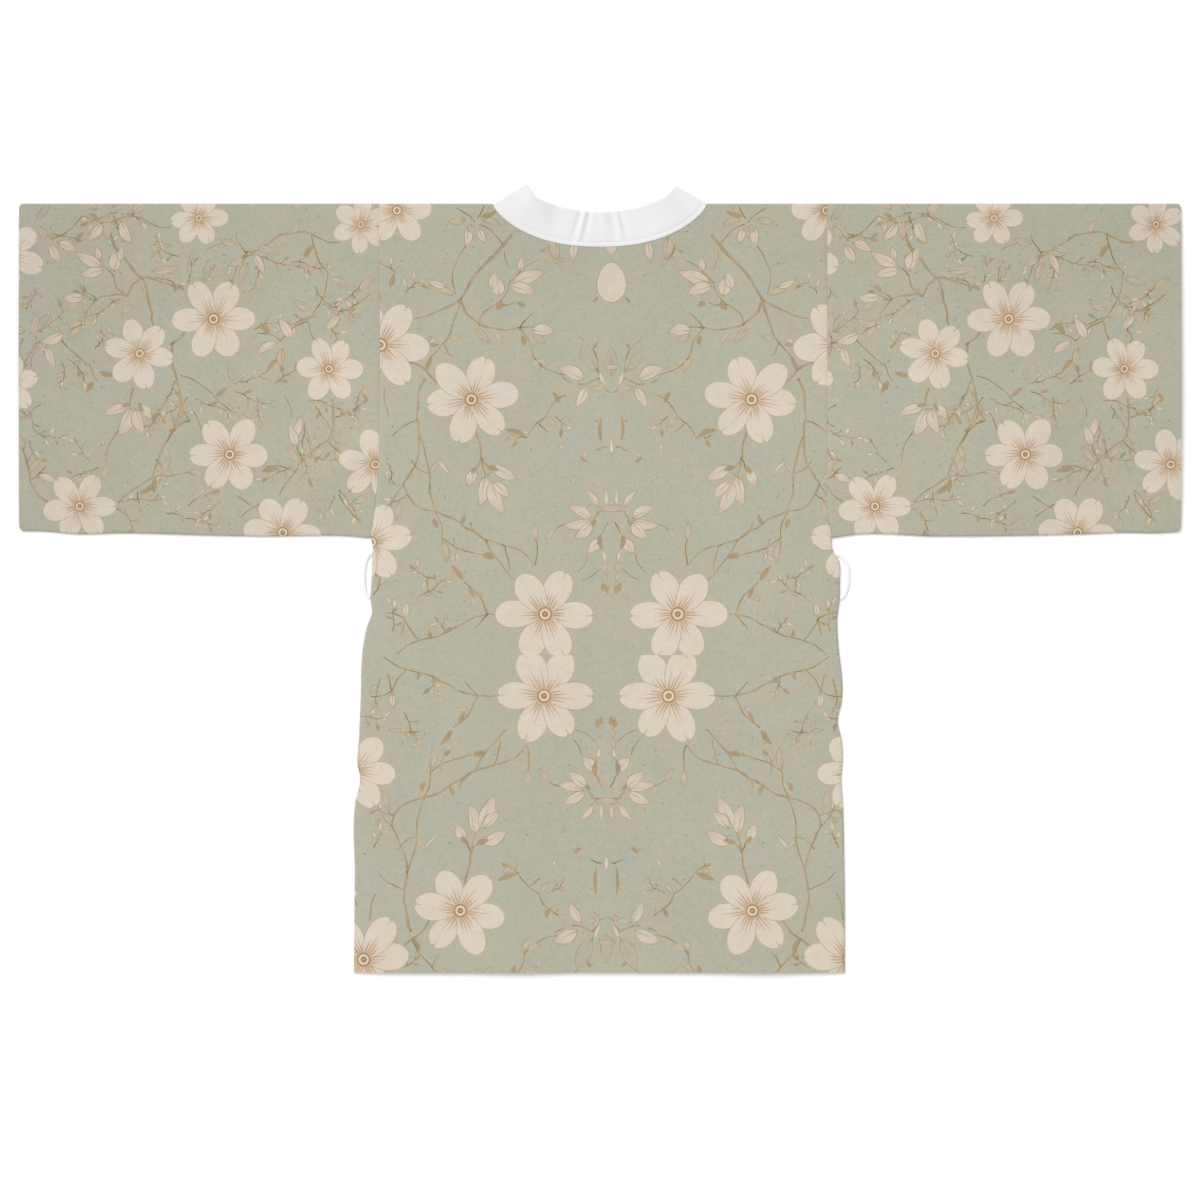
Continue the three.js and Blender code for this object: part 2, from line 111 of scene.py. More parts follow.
# Folds of the upper cloth, as bells at x, y that run at turn degrees from +X. The soft folds are the
# frame's, and the fine creases are in the cloth alone.
Fold = namedtuple("Fold", "x y turn length width rise")
SOFT_FOLDS = table(
    Fold,
    (0, 372, 90, 60, 30, -2.2), (-622, 250, 90, 95, 42, 1.9), (-560, 125, 72, 95, 24, 1.7),
    (-470, 330, 8, 120, 20, 1.2), (-455, 165, 118, 110, 26, 1.9), (-352, 232, 64, 120, 24, 1.6),
    (-290, 118, 38, 70, 15, 1.5), (-188, 354, -34, 34, 9, 1.1), (-176, 205, 74, 130, 27, 1.8),
    (-205, 60, 48, 62, 13, 1.4), (-214, -52, 12, 44, 11, 1.2), (-150, -205, 82, 150, 30, 2.0),
    (-228, -232, -14, 40, 12, 1.1), (-92, -404, 88, 90, 38, 1.7), (22, 150, 96, 140, 34, 1.3),
    (96, -96, 101, 165, 31, 1.9), (178, -398, 93, 95, 36, 1.9), (214, -158, 16, 46, 11, 1.2),
    (216, 44, 128, 66, 13, 1.5), (222, 360, 3, 36, 8, 1.0), (190, 226, 103, 125, 25, 1.7),
    (302, 122, 141, 72, 15, 1.4), (366, 268, 112, 105, 26, 1.8), (474, 146, 66, 115, 24, 1.8),
    (512, 336, -6, 110, 19, 1.1), (620, 205, 88, 100, 44, 2.0),
)
FINE_CREASES = table(
    Fold,
    (-165, 366, 12, 46, 5, -0.35), (-150, 352, 7, 52, 4, 0.3), (-205, 350, -22, 34, 4, -0.3),
    (160, 360, -10, 50, 5, -0.35), (196, 348, 18, 38, 4, 0.3), (-290, 368, -9, 44, 5, -0.3),
    (296, 362, 14, 40, 5, -0.3), (-452, 60, 1, 80, 3.2, -0.7), (-400, 67, -2, 60, 4, 0.35),
    (476, 61, -1, 110, 3.2, -0.7), (420, 68, 2, 60, 4, 0.3), (-236, 30, 64, 28, 4, -0.5),
    (240, 34, -60, 30, 4, -0.5), (-246, -74, 8, 20, 4, -0.45), (248, -160, -6, 20, 4, -0.45),
    (-244, -222, 10, 22, 4, -0.4), (-604, 96, 76, 44, 5, 0.4), (608, 330, -82, 46, 5, 0.4),
)
REST_RISE = 1.6
EDGE_FADE = 22.0
NECK_STACK = (1.2, 35.0)  # extra rise over the neckband's folds, and its reach
SEAM_VALLEY = (0.55, 1.9)  # depth and reach of the dip where an armhole seam pulls the cloth down

# The neckband across the back
TIPS = {"left": (-82.0, 434.0), "right": (83.0, 432.0)}
KINK_SEWN, KINK_FREE, KINK_ABOVE = 90.0, 73.0, 7.5
FREE_EDGE_DROP = 9.2
RIDGE_LOW, RIDGE_HIGH, RIDGE_REACH = 1.3, 4.7, 22.0
FOLD_GAP = 0.6
Ripple = namedtuple("Ripple", "sewn free width rise")
RIPPLES = table(
    Ripple,
    (-53, -48, 9, -0.7), (-33, -21, 3.6, -1.2), (-26, -16, 2.6, 0.9), (-20, -11, 3.6, -1.2),
    (7, 4, 4.5, 0.6), (20, 12, 3.6, -1.2), (27, 17, 2.6, 0.9), (34, 22, 3.6, -1.2), (55, 48, 9, -0.7),
)
STITCH_IN = 5.5  # the neckband's edge stitching, in from its sewn edge
STITCH_TROUGH = (0.3, 0.9)  # depth and reach of the trough that the neckband's stitching pulls
HEM_STITCH_IN = 1.5  # the stitching of hem and cuffs, in from the end of the layer turned in
HEM_DIP = (0.22, 0.9)  # depth and reach of the dip along that stitching
STITCH_PITCH = 3.4
STITCH_LONG = 2.5
BAND_STITCH_SUNK, HEM_STITCH_SUNK = 0.04, 0.14
THREAD = 0.34
THREAD_SIDES = 6
THREAD_RINGS = ((0.0, 0.45), (0.2, 1.0), (0.8, 1.0), (1.0, 0.45))  # place along a stitch and thickness

Loop = namedtuple("Loop", "side top bottom gap")
BELT_LOOPS = [Loop("left", 387, 431, 6.4), Loop("right", 388, 432, 6.8)]

# Print. Local sizes run outward (u) from an upright mirror line and away (w) from a level one. On a
# sleeve u runs along it to the right, and w round it from the shoulder fold.
Flower = namedtuple("Flower", "u w radius turn")
Twig = namedtuple("Twig", "u w to_u to_w bend thick")
Leaf = namedtuple("Leaf", "u w turn length width ink")
Sprig = namedtuple("Sprig", "u w turn length")

UPPER_FLOWERS = table(
    Flower,
    (154, 281, 51, 50), (73, 45, 54, 0), (254, 341, 53, 2), (236, 489, 39, 56), (264, 124, 45, 54),
)
LOWER_FLOWERS = table(
    Flower,
    (160.5, 281, 51, 50), (68.5, 45, 54, 0), (267, 335, 53, 2), (277, 127, 45, 54),
)
BODY_TWIGS = table(
    Twig,
    (109, 461, 167, 391, 3, 3.0), (167, 391, 216, 370, -3, 1.8), (167, 391, 184, 343, -3, 2.2),
    (184, 343, 176, 328, 1, 1.6), (184, 343, 206, 313, 2, 1.3), (167, 391, 146, 364, 3, 2.4),
    (146, 364, 101, 360, 4, 1.7), (101, 360, 86, 376, -1, 1.2), (101, 360, 76, 357, -2, 1.4),
    (101, 360, 86, 328, -3, 1.5), (86, 328, 52, 308, 4, 1.2), (146, 364, 127, 385, -4, 1.9),
    (127, 385, 106, 388, 2, 1.3), (127, 385, 112, 409, 3, 1.7), (112, 409, 83, 434, -2, 1.5),
    (222, 323, 186, 291, -4, 2.2), (206, 304, 213, 258, 3, 2.3), (213, 258, 228, 188, -8, 2.2),
    (213, 258, 242, 239, 3, 1.2), (228, 188, 194, 158, 9, 1.9), (228, 188, 244, 160, 2, 1.5),
    (211, 240, 200, 186, -3, 1.6), (200, 186, 192, 158, 2, 1.6), (220, 214, 202, 200, 3, 1.0),
    (194, 158, 160, 140, -2, 2.0), (160, 140, 120, 121, 2, 1.8), (120, 121, 84, 99, -5, 1.5),
    (84, 99, 83, 128, 2, 1.3), (156, 145, 138, 126, 2, 1.7), (138, 126, 105, 82, 3, 1.7),
    (118, 120, 112, 92, -1, 1.2), (194, 158, 186, 128, -3, 1.1), (186, 128, 142, 110, 3, 1.1),
    (112, 45, 136, 45, 0, 1.6), (136, 45, 162, 80, 4, 1.8), (136, 45, 170, 31, 2, 1.6),
    (136, 45, 150, 29, 0, 1.3), (170, 31, 211, 16, -2, 1.4), (211, 16, 236, 1, 2, 1.2),
    (211, 16, 227, 40, -2, 1.2), (227, 40, 249, 46, 2, 1.3), (227, 40, 231, 20, 0, 1.1),
    (150, 251, 143, 217, -1, 1.9), (143, 217, 132, 203, 1, 1.5), (143, 217, 150, 200, 0, 1.4),
    (143, 217, 136, 190, 1, 1.5), (150, 476, 172, 492, 2, 1.3), (148, 480, 140, 494, 1, 1.3),
    (146, 474, 120, 452, -3, 1.2), (160, 450, 170, 432, 1, 1.1), (170, 432, 175, 418, 1, 1.3),
    (175, 418, 171, 396, 1, 1.2), (118, 444, 112, 424, 1, 0.9), (250, 292, 244, 262, 2, 1.2),
    (257, 397, 266, 412, -2, 1.6), (54, 306, 44, 300, 1, 1.1), (36, 297, 14, 305, 2, 1.5),
    (26, 334, 34, 350, 1, 1.5), (15, 310, 20, 337, 2, 1.1), (14, 305, 2, 288, 2, 1.5),
    (50, 286, 72, 262, 4, 1.3), (72, 262, 92, 242, 2, 1.2), (80, 254, 70, 245, 0, 1.2),
    (5, 229, 17, 224.5, 1, 1.2), (14, 158, 20, 147, 0, 2.0), (0, 158, 13, 158, 0, 1.3),
    (45, 145, 63, 137, 2, 1.2), (4, 146, 12, 130, 0, 1.2), (12, 95, 33, 82, -2, 0.9),
    (26, 110, 37, 91, -2, 0.9),
)
BODY_LEAVES = table(
    Leaf,
    (100, 421, 96, 17, 8, "cream"), (109, 409, 161, 38, 15, "cream"), (111, 406, 197, 29, 14, "cream"),
    (123, 394, 82, 23, 15, "cream"), (132, 402, 104, 20, 11, "cream"), (127, 380, 128, 12, 6, "tan"),
    (104, 387, 200, 10, 6, "tan"), (88, 357, 184, 26, 14, "cream"), (87, 352, 214, 18, 8, "pale"),
    (98, 352, 262, 12, 6, "tan"), (88, 326, 241, 19, 7, "pale"), (83, 325, 207, 16, 6, "pale"),
    (149, 359, 228, 22, 8, "pale"), (129, 355, 232, 17, 6, "pale"), (173, 395, 17, 34, 9, "pale"),
    (182, 404, 22, 22, 8, "cream"), (178, 348, 170, 14, 6, "pale"), (204, 312, 118, 16, 5, "tan"),
    (131, 208, 209, 31, 14, "cream"), (149, 203, -63, 20, 12, "cream"), (139, 197, -80, 34, 15, "cream"),
    (134, 191, 246, 40, 16, "cream"), (130, 191, 224, 26, 12, "cream"), (137, 207, 200, 14, 6, "tan"),
    (147, 207, -50, 11, 5, "tan"), (30, 303, 24, 31, 15, "cream"), (26, 295, -62, 27, 11, "cream"),
    (12, 300, -102, 16, 7, "pale"), (10, 292, 12, 16, 6, "pale"), (16, 312, 66, 38, 17, "line"),
    (0.1, 306, 90, 34, 16, "line"), (10.5, 233, 90, 31, 4, "tan"), (12.7, 312, -113, 19, 5, "cream"),
    (-6, 317, 0, 17, 6, "pale"), (20.5, 337, 130, 8, 4, "tan"), (14, 163, 53, 24, 8, "cream"),
    (6.5, 164, 88, 19, 5, "cream"), (-9, 161.5, 0, 24, 8, "pale"), (22, 150, 27, 29, 12, "cream"),
    (23, 148, -10, 31, 11, "cream"), (21, 146, -42, 27, 13, "cream"), (17, 149, -60, 9, 5, "tan"),
    (62, 139, -56, 18, 6, "pale"), (11, 128, -46, 22, 13, "cream"), (12, 133, -96, 18, 6, "tan"),
    (9.5, 114, -98, 13, 5, "cream"), (8.5, 102, -98, 13, 5, "pale"), (7.5, 90, -96, 10, 5, "pale"),
    (9, 80, -88, 10, 6, "tan"), (4, 77, -84, 10, 5, "tan"), (26, 212, 38, 11, 4, "tan"),
    (54, 225, 70, 8, 4, "cream"), (31, 218, 120, 6, 3, "cream"), (163, 82, 52, 22, 6, "tan"),
    (150, 62, 68, 16, 5, "tan"), (146, 58, 24, 12, 5, "pale"), (174, 30, -38, 10, 5, "tan"),
    (227, 42, 98, 17, 8, "cream"), (198, 17, 78, 11, 4, "tan"), (83, 127, 88, 20, 7, "pale"),
    (196, 150, 246, 12, 6, "tan"), (186, 126, 262, 26, 8, "pale"), (142, 110, 194, 15, 7, "tan"),
    (166, 144, 112, 12, 5, "tan"), (200, 200, 128, 20, 5, "pale"), (232, 168, -78, 22, 7, "pale"),
    (94, 240, 20, 24, 6, "tan"), (70, 262, -124, 16, 6, "pale"), (58, 277, 62, 14, 5, "tan"),
    (0, 387, 90, 46, 34, "egg"), (14.5, 394, -42, 9, 3.4, "tan"), (0.1, 221, 90, 17, 6.4, "eye"),
    (157, 471, -84, 23, 10, "cream"), (146, 469, -111, 18, 9, "cream"), (142, 478, 197, 22, 8, "pale"),
    (144, 482, 160, 20, 6, "tan"), (160, 479, -7, 21, 8, "pale"), (154, 474, -95, 11, 9, "line"),
    (193, 214, -132, 24, 4, "cream"), (182, 430, 42, 14, 4, "pale"), (62, 460, -96, 26, 12, "pale"),
    (40, 456, -82, 24, 10, "cream"), (0.1, 462, -90, 24, 12, "cream"), (262, 408, 60, 18, 8, "tan"),
    (244, 404, 108, 16, 6, "tan"),
)
BODY_SPRIGS = table(
    Sprig,
    (252, 388, 82, 30), (226, 398, 118, 18), (264, 276, -70, 24), (246, 212, -120, 20),
    (214, 62, 128, 34), (240, 26, 96, 26), (196, 84, 20, 22), (262, 66, 140, 26), (238, 420, 62, 24),
    (214, 344, 206, 14), (62, 262, -150, 16), (92, 240, -12, 14), (174, 128, -104, 16),
    (224, 176, -30, 20), (182, 24, 70, 14), (70, 452, -106, 18),
)
SLEEVE_FLOWERS = table(
    Flower,
    (198, 17, 32, 1), (214, 128, 46, 58), (133, 166, 39, 17), (232, 277, 44, 0), (67, 334, 40, 54),
    (341, 183, 37, 2), (290, 363, 44, 59), (-12, 57, 40, 20), (-10, 200, 34, 50), (392, 288, 40, 10),
    (376, 24, 32, 40),
)
SLEEVE_TWIGS = table(
    Twig,
    (100, 34, 135, 82, 4, 2.6), (135, 82, 176, 95, -2, 1.8), (135, 82, 146, 128, -2, 2.4),
    (146, 128, 158, 152, 2, 1.6), (135, 82, 119, 103, 2, 2.2), (119, 103, 86, 106, 3, 1.7),
    (86, 106, 72, 96, 0, 1.2), (84, 108, 72, 134, 3, 1.5), (72, 134, 52, 146, 3, 1.2),
    (119, 103, 104, 80, -4, 1.7), (104, 80, 92, 70, 1, 1.4), (183, 142, 166, 156, -2, 2.1),
    (168, 154, 178, 208, 3, 2.3), (178, 208, 163, 262, -5, 2.0), (178, 208, 188, 240, 3, 1.8),
    (188, 240, 163, 262, 4, 1.3), (163, 262, 148, 300, 2, 1.6), (178, 190, 214, 212, -3, 1.2),
    (214, 212, 240, 232, 2, 1.2), (126, 204, 122, 224, 1, 1.8), (192, 230, 206, 268, -2, 1.4),
    (250, 55, 234, 92, 3, 1.8), (234, 92, 232, 84, 0, 1.4), (250, 55, 280, 40, 3, 2.0),
    (280, 40, 322, 34, -4, 1.7), (322, 34, 352, 44, 3, 1.3), (250, 55, 238, 34, -2, 1.3),
    (234, 40, 205, 52, 0, 0.9), (322, 34, 340, 78, 4, 1.4), (340, 78, 318, 130, -5, 1.2),
    (318, 130, 330, 160, 2, 1.2), (318, 130, 288, 152, 3, 1.3), (288, 152, 262, 144, 3, 1.1),
    (344, 216, 340, 262, -4, 1.7), (340, 262, 304, 296, 4, 1.6), (304, 296, 286, 322, 1, 1.3),
    (340, 262, 362, 280, 2, 1.4), (304, 296, 272, 290, 3, 1.2), (322, 280, 316, 250, 1, 1.1),
    (270, 330, 244, 346, 2, 1.3), (110, 330, 156, 300, -4, 1.8), (156, 300, 186, 296, 2, 1.5),
    (130, 318, 136, 344, 1, 1.2), (32, 330, 12, 306, -3, 1.8), (12, 306, 4, 272, 2, 1.4),
    (12, 306, 30, 290, 1, 1.3), (24, 222, 8, 236, 1, 1.2), (20, 154, 44, 146, 2, 1.4),
    (20, 154, 4, 188, 2, 1.6), (44, 146, 78, 178, 3, 1.3), (78, 178, 86, 196, 1, 1.1),
    (8, 118, 14, 98, 1, 1.2), (36, 40, 70, 14, 4, 1.4), (70, 14, 100, 22, 2, 1.5),
    (100, 22, 134, 16, -3, 1.8), (134, 16, 166, 28, 3, 1.6), (38, 42, 22, 30, 1, 1.6),
    (300, 236, 292, 212, 2, 1.0), (110, 250, 96, 288, 4, 1.0), (240, 322, 262, 336, 1, 1.2),
    (352, 120, 386, 100, 3, 1.3), (352, 320, 376, 350, 3, 1.3),
)
SLEEVE_LEAVES = table(
    Leaf,
    (92, 70, -152, 34, 13, "cream"), (94, 74, 168, 28, 12, "cream"), (88, 64, -100, 16, 8, "cream"),
    (104, 76, -70, 26, 14, "cream"), (112, 66, -84, 18, 8, "cream"), (72, 104, 178, 24, 12, "cream"),
    (66, 110, 150, 16, 7, "pale"), (146, 76, -10, 34, 9, "pale"), (124, 112, 128, 18, 6, "pale"),
    (108, 110, 124, 16, 6, "pale"), (70, 132, 160, 18, 7, "pale"), (68, 136, 128, 20, 7, "pale"),
    (50, 144, 160, 28, 12, "cream"), (30, 158, 66, 26, 10, "cream"), (16, 146, -80, 26, 10, "pale"),
    (22, 142, -56, 24, 9, "line"), (8, 142, -170, 18, 8, "pale"), (120, 224, 160, 28, 12, "cream"),
    (124, 226, 116, 34, 15, "cream"), (128, 226, 72, 30, 13, "cream"), (132, 222, 50, 22, 11, "cream"),
    (124, 222, 170, 12, 5, "tan"), (132, 220, 66, 12, 5, "tan"), (248, 60, 150, 22, 8, "pale"),
    (252, 66, 110, 24, 9, "pale"), (258, 56, 64, 26, 9, "cream"), (262, 48, 20, 24, 8, "pale"),
    (240, 46, -160, 22, 8, "pale"), (302, 34, -60, 18, 7, "pale"), (324, 46, 120, 18, 7, "tan"),
    (340, 84, 20, 26, 9, "pale"), (322, 118, -150, 24, 9, "pale"), (300, 150, -120, 28, 11, "cream"),
    (284, 154, 150, 26, 10, "cream"), (290, 160, 96, 22, 9, "pale"), (276, 146, -128, 18, 7, "tan"),
    (336, 268, 140, 20, 7, "pale"), (312, 286, -130, 26, 9, "pale"), (300, 262, -70, 30, 10, "cream"),
    (306, 268, -110, 26, 10, "cream"), (286, 292, 170, 20, 7, "tan"), (346, 272, 60, 24, 8, "pale"),
    (364, 282, 30, 22, 8, "tan"), (100, 20, 96, 22, 10, "pale"), (112, 20, 64, 28, 12, "cream"),
    (124, 12, -40, 24, 10, "pale"), (92, 22, 130, 26, 11, "cream"), (86, 8, -150, 22, 9, "pale"),
    (104, 6, -86, 16, 8, "pale"), (34, 46, 60, 24, 11, "cream"), (42, 44, 24, 24, 11, "cream"),
    (30, 40, -120, 18, 8, "pale"), (18, 20, -60, 30, 9, "line"), (160, 266, 70, 22, 6, "pale"),
    (150, 302, 96, 18, 6, "tan"), (134, 320, -40, 20, 6, "tan"), (158, 296, -70, 18, 7, "pale"),
    (186, 296, 20, 22, 8, "pale"), (12, 298, -50, 22, 8, "pale"), (20, 300, 20, 24, 9, "cream"),
    (6, 272, -110, 20, 8, "pale"), (216, 214, -40, 18, 5, "tan"), (240, 234, 30, 20, 6, "pale"),
    (96, 290, 110, 16, 5, "pale"), (82, 196, 120, 16, 6, "tan"), (88, 186, 10, 20, 6, "tan"),
    (374, 98, -40, 24, 9, "pale"), (352, 122, 130, 24, 9, "cream"), (366, 330, -30, 22, 8, "pale"),
    (204, 88, -78, 26, 8, "line"), (188, 80, -100, 16, 6, "line"), (230, 182, 70, 20, 6, "line"),
)
SLEEVE_SPRIGS = table(
    Sprig,
    (108, 10, 150, 34), (104, 14, 70, 26), (112, 12, 20, 26), (36, 34, 28, 26), (150, 82, 12, 26),
    (112, 106, 160, 44), (86, 108, 196, 24), (186, 88, -78, 24), (200, 90, -60, 20), (262, 58, 28, 54),
    (268, 62, 96, 34), (258, 56, 150, 26), (300, 66, -24, 40), (326, 92, 60, 34), (334, 112, 20, 36),
    (326, 126, 168, 30), (342, 128, 96, 24), (12, 144, -24, 44), (18, 146, 60, 32), (6, 150, 100, 26),
    (54, 172, 20, 32), (48, 176, 78, 20), (84, 160, -60, 22), (172, 196, 88, 50), (186, 214, 118, 40),
    (164, 214, 132, 44), (194, 216, 30, 40), (236, 200, -12, 46), (238, 208, 34, 40), (262, 214, 100, 26),
    (280, 200, -50, 34), (318, 218, 8, 52), (326, 224, 52, 46), (348, 236, -34, 34), (316, 240, 120, 30),
    (306, 268, 76, 38), (312, 276, 24, 40), (300, 290, 150, 30), (352, 316, 30, 34), (346, 322, 100, 24),
    (362, 318, -40, 22), (112, 328, -24, 44), (104, 334, 16, 40), (162, 342, 10, 56), (186, 334, -34, 30),
    (22, 246, -150, 26), (16, 250, 36, 32), (12, 262, 96, 34), (80, 286, -140, 26), (88, 292, 150, 34),
    (150, 282, 60, 24), (166, 252, -20, 26), (222, 328, 140, 30), (258, 140, -30, 34),
    (176, 60, -150, 30), (150, 36, 60, 24), (18, 92, 70, 22), (362, 130, -80, 28), (376, 90, 110, 30),
    (378, 200, 100, 36),
)
BACK_FLECKS, SLEEVE_FLECKS = 90, 150
BACK_SPREAD, SLEEVE_SPREAD = (285, 495), (390, 362)  # how far out and away the flecks are spread

# Where the print is mirrored or starts
Quarter = namedtuple("Quarter", "axis hand up")
Layer = namedtuple("Layer", "way")
MIRROR_LEVEL = -84.7
UPPER_AXIS, LOWER_AXIS, FRONT_AXIS = 12.6, 7.0, 150.0
LOWER_STRETCH = 1.04  # the print is wider in the lower half
SLEEVE_START = {"left": -CUFF_X, "right": 235.4}
UNDER_SHIFT = 40.0  # the print under a sleeve starts nearer the middle
BACK_QUARTERS = [
    Quarter(axis, hand, up)
    for axis, up in ((UPPER_AXIS, 1), (LOWER_AXIS, -1))
    for hand in (-1, 1)
]
SEEDS = {  # of the print's random draws
    "body": 40,
    "front": 47,
    "upper": 51,
    "under": 52,
}

# Lines along which the cloth is divided where the print is mirrored. The body's stop short of its edges.
LEVEL_REACH = 264
MIRROR_BOTTOM, BACK_MIRROR_TOP, FRONT_MIRROR_TOP = -432, 362, 410
FRONT_LEVEL = (43.0, 262.0)
FOLD_PAST = (14, 4)  # how far a sleeve's line along its fold passes the armhole and cuff

# Points that divide the cloth
PRINT_SPACING = 6.5
EDGE_ROWS = (0.5, 1.2, 2.2, 4.0)  # distances in from a turned edge
FLAT_ROWS = (2.0,)  # and from a flat one
BAND_EDGE_RINGS = (0.0, 0.15, 0.5, 1.0)  # and from the neckband's two rounded edges
GRID_JITTER = 0.2

# Flowers, as shares of their radius where they are lengths
PETALS = 6
PETAL_SWAY = 7  # degrees to either side
PETAL_LENGTH = (0.96, 1.05)
PETAL_HALF = (0.285, 0.325)
PETAL_WIDEST = (0.58, 0.66)  # place of the widest part along a petal
PETAL_TIP = (1.8, 2.3)  # power of the tip's curve
VEIN_LENGTH = (0.4, 0.72)
VEIN_LEANS = (-0.31, -0.1, 0.08, 0.3)
EYE_RINGS = ((0.172, "halo"), (0.148, "ring"), (0.112, "eye"), (0.062, "eye_core"), (0.024, "eye_dot"))

CORED_TWIG = 1.5  # a twig from this thickness has a lighter core
WIDE_LEAF = 7  # a leaf wider than this has a rib and a bolder edge
BOLD_RIM, FINE_RIM = 0.75, 0.55

# Inks, as cream and tan amounts
INKS = {
    "petal": (1.0, 0.0),
    "petal_edge": (0.62, 0.36),
    "vein": (0.9, 0.68),
    "halo": (0.95, 0.42),
    "ring": (0.6, 0.85),
    "eye": (1.3, 0.0),
    "eye_core": (0.5, 0.95),
    "eye_dot": (0.9, 0.5),
    "twig": (0.0, 0.95),
    "twig_core": (0.42, 0.42),
    "cream": (0.86, 0.06),
    "egg": (0.92, 0.05),
    "pale": (0.5, 0.16),
    "tan": (0.3, 0.6),
    "line": (0.08, 0.08),
    "leaf_edge": (0.1, 0.75),
    "fleck": (0.1, 0.6),
}
Shape = namedtuple("Shape", "points ink centre reach region")

# Painted shade on the ground: how much darker its colour is painted along the shoulders and out along the
# sleeves, and how much darker it is towards the hem, as amounts with where they start and how far they
# reach
SHOULDER_SHADE = (0.45, 120)
SLEEVE_SHADE = (0.5, 270, 350)
HEM_TONE = (0.12, 500, 350)

# View: the photo's 1200 pixels show 1.1 mm each, and its middle lies below the origin
PHOTO_WIDTH, PIXEL = 1200, 1.1
VIEW_Y = -24.2
LENS, SENSOR = 85.0, 36.0
IN_FOCUS = 3  # height of the robe's upper side, where the photo's scale holds
LIGHT_WAY = (1.0, -1.25, -1.55)


def bell(distance, reach):
    return np.exp(-((distance / reach) ** 2))


def steps(count):
    return [i / count for i in range(count + 1)]


def lerp(a, b, t):
    return a + (b - a) * t


def smooth(t):
    return t * t * (3 - 2 * t)


def hand_of(side):
    return -1 if side == "left" else 1


def read_table(rows, column, at):
    """A smooth curve through one column of a table, read at values of its first column."""
    keys = np.array([row[0] for row in rows], float)
    values = np.array([getattr(row, column) for row in rows], float)
    slopes = np.gradient(values, keys)
    slopes[0] = (values[1] - values[0]) / (keys[1] - keys[0])
    slopes[-1] = (values[-1] - values[-2]) / (keys[-1] - keys[-2])
    at = np.clip(np.asarray(at, float), keys[0], keys[-1])
    i = np.clip(np.searchsorted(keys, at), 1, len(keys) - 1)
    step = keys[i] - keys[i - 1]
    t = (at - keys[i - 1]) / step
    bend = step * (t * (1 - t) ** 2 * slopes[i - 1] - t * t * (1 - t) * slopes[i])
    return lerp(values[i - 1], values[i], smooth(t)) + bend


def body_edge(side, drop):
    return read_table(BODY_EDGES, side, drop)


def edge_of_x(x, drop):
    """Distance from the centre line to the body's edge on the side where x lies."""
    return np.where(x < 0, -body_edge("left", drop), body_edge("right", drop))


def armhole_x(side):
    return abs(float(body_edge(side, UNDERARM_DROP)))


def sleeve_depth(side, x):
    armhole = armhole_x(side)
    return read_table(SLEEVE_DEPTHS, side, (np.abs(x) - armhole) / (CUFF_X - armhole))


def neckline_drop(x):
    share = np.minimum(np.abs(x) / NECK_HALF, 1)
    return NECK_DROP * (1 - share ** NECK_SCOOP[0]) ** NECK_SCOOP[1]


def front_edge_x(drop):
    share = np.maximum(0, 1 - np.asarray(drop, float) / FRONT_CURVE_DROP)
    return FRONT_EDGE_X + (NECK_HALF - FRONT_EDGE_X) * share**FRONT_CURVE_POWER


def to_shoulder(x, drop):
    """Distance from the shoulder lines, which end at the two neck points."""
    return np.hypot(np.maximum(0, NECK_HALF - np.abs(x)), drop)


def fold_heights(folds, x, y):
    total = np.zeros_like(x)
    for fold in folds:
        turn = math.radians(fold.turn)
        dx, dy = x - fold.x, y - fold.y
        along = dx * math.cos(turn) + dy * math.sin(turn)
        across = dy * math.cos(turn) - dx * math.sin(turn)
        total = total + fold.rise * bell(along, fold.length) * bell(across, fold.width)
    return total


def edge_distances(x, y):
    """Distances from the joined edges above and below, on the body and the sleeves."""
    drop = SHOULDER_Y - y
    top = to_shoulder(x, drop)
    inside = edge_of_x(x, np.maximum(drop, UNDERARM_DROP)) - np.abs(x)
    depth = np.where(x < 0, sleeve_depth("left", x), sleeve_depth("right", x))
    on_sleeve = np.where(inside > 0, np.hypot(inside, UNDERARM_DROP - drop), depth - drop)
    return top, np.where(drop > UNDERARM_DROP, inside, on_sleeve)


def upper_face(x, y):
    """Height of the upper cloth's upper face, before its seams and hems."""
    fade = 1.0
    for distance in edge_distances(x, y):
        fade = fade * (1 - np.exp(-np.maximum(0, distance - TURN) / EDGE_FADE))
    rise = REST_RISE + fold_heights(SOFT_FOLDS, x, y)
    near_neck = bell(np.hypot(np.abs(x) - NECK_HALF, y - SHOULDER_Y), NECK_STACK[1])
    crease = fade * fold_heights(FINE_CREASES, x, y)
    return WALL + SEAM_GAP + fade * rise + NECK_STACK[0] * near_neck + WALL + crease


def seam_dip(distance):
    return SEAM_VALLEY[0] * bell(distance, SEAM_VALLEY[1])


# Print shapes


def disc(u, w, radius, count, ink, region, reach):
    points = [
        (u + radius * math.cos(math.tau * i / count), w + radius * math.sin(math.tau * i / count))
        for i in range(count)
    ]
    return Shape(points, ink, (u, w), reach, region)


def petal_outline(length, half, wide, tip, notch, count=11):
    """A petal along +u from its flower's middle, widest at wide, with a nick in its tip if notch is set."""
    side = []
    for i in range(count + 1):
        a = 0.05 + 0.95 * math.sin(math.pi / 2 * i / count)
        if a < wide:
            share = (1 - ((wide - a) / wide) ** 1.9) ** 0.85
        else:
            share = math.sqrt(max(0, 1 - ((a - wide) / (1 - wide)) ** tip))
        side.append((length * a, half * share))
    upper = side[:-1]
    lower = [(u, -v) for u, v in reversed(upper)]
    end = [(length, 0)]
    if notch:
        nick = 0.065 * length
        end = [(length, nick * 0.8), (length - nick, 0), (length * 0.985, -nick * 0.9)]
    return upper + end + lower


def placed(points, u, w, turn):
    c, s = math.cos(turn), math.sin(turn)
    return [(u + a * c - b * s, w + a * s + b * c) for a, b in points]


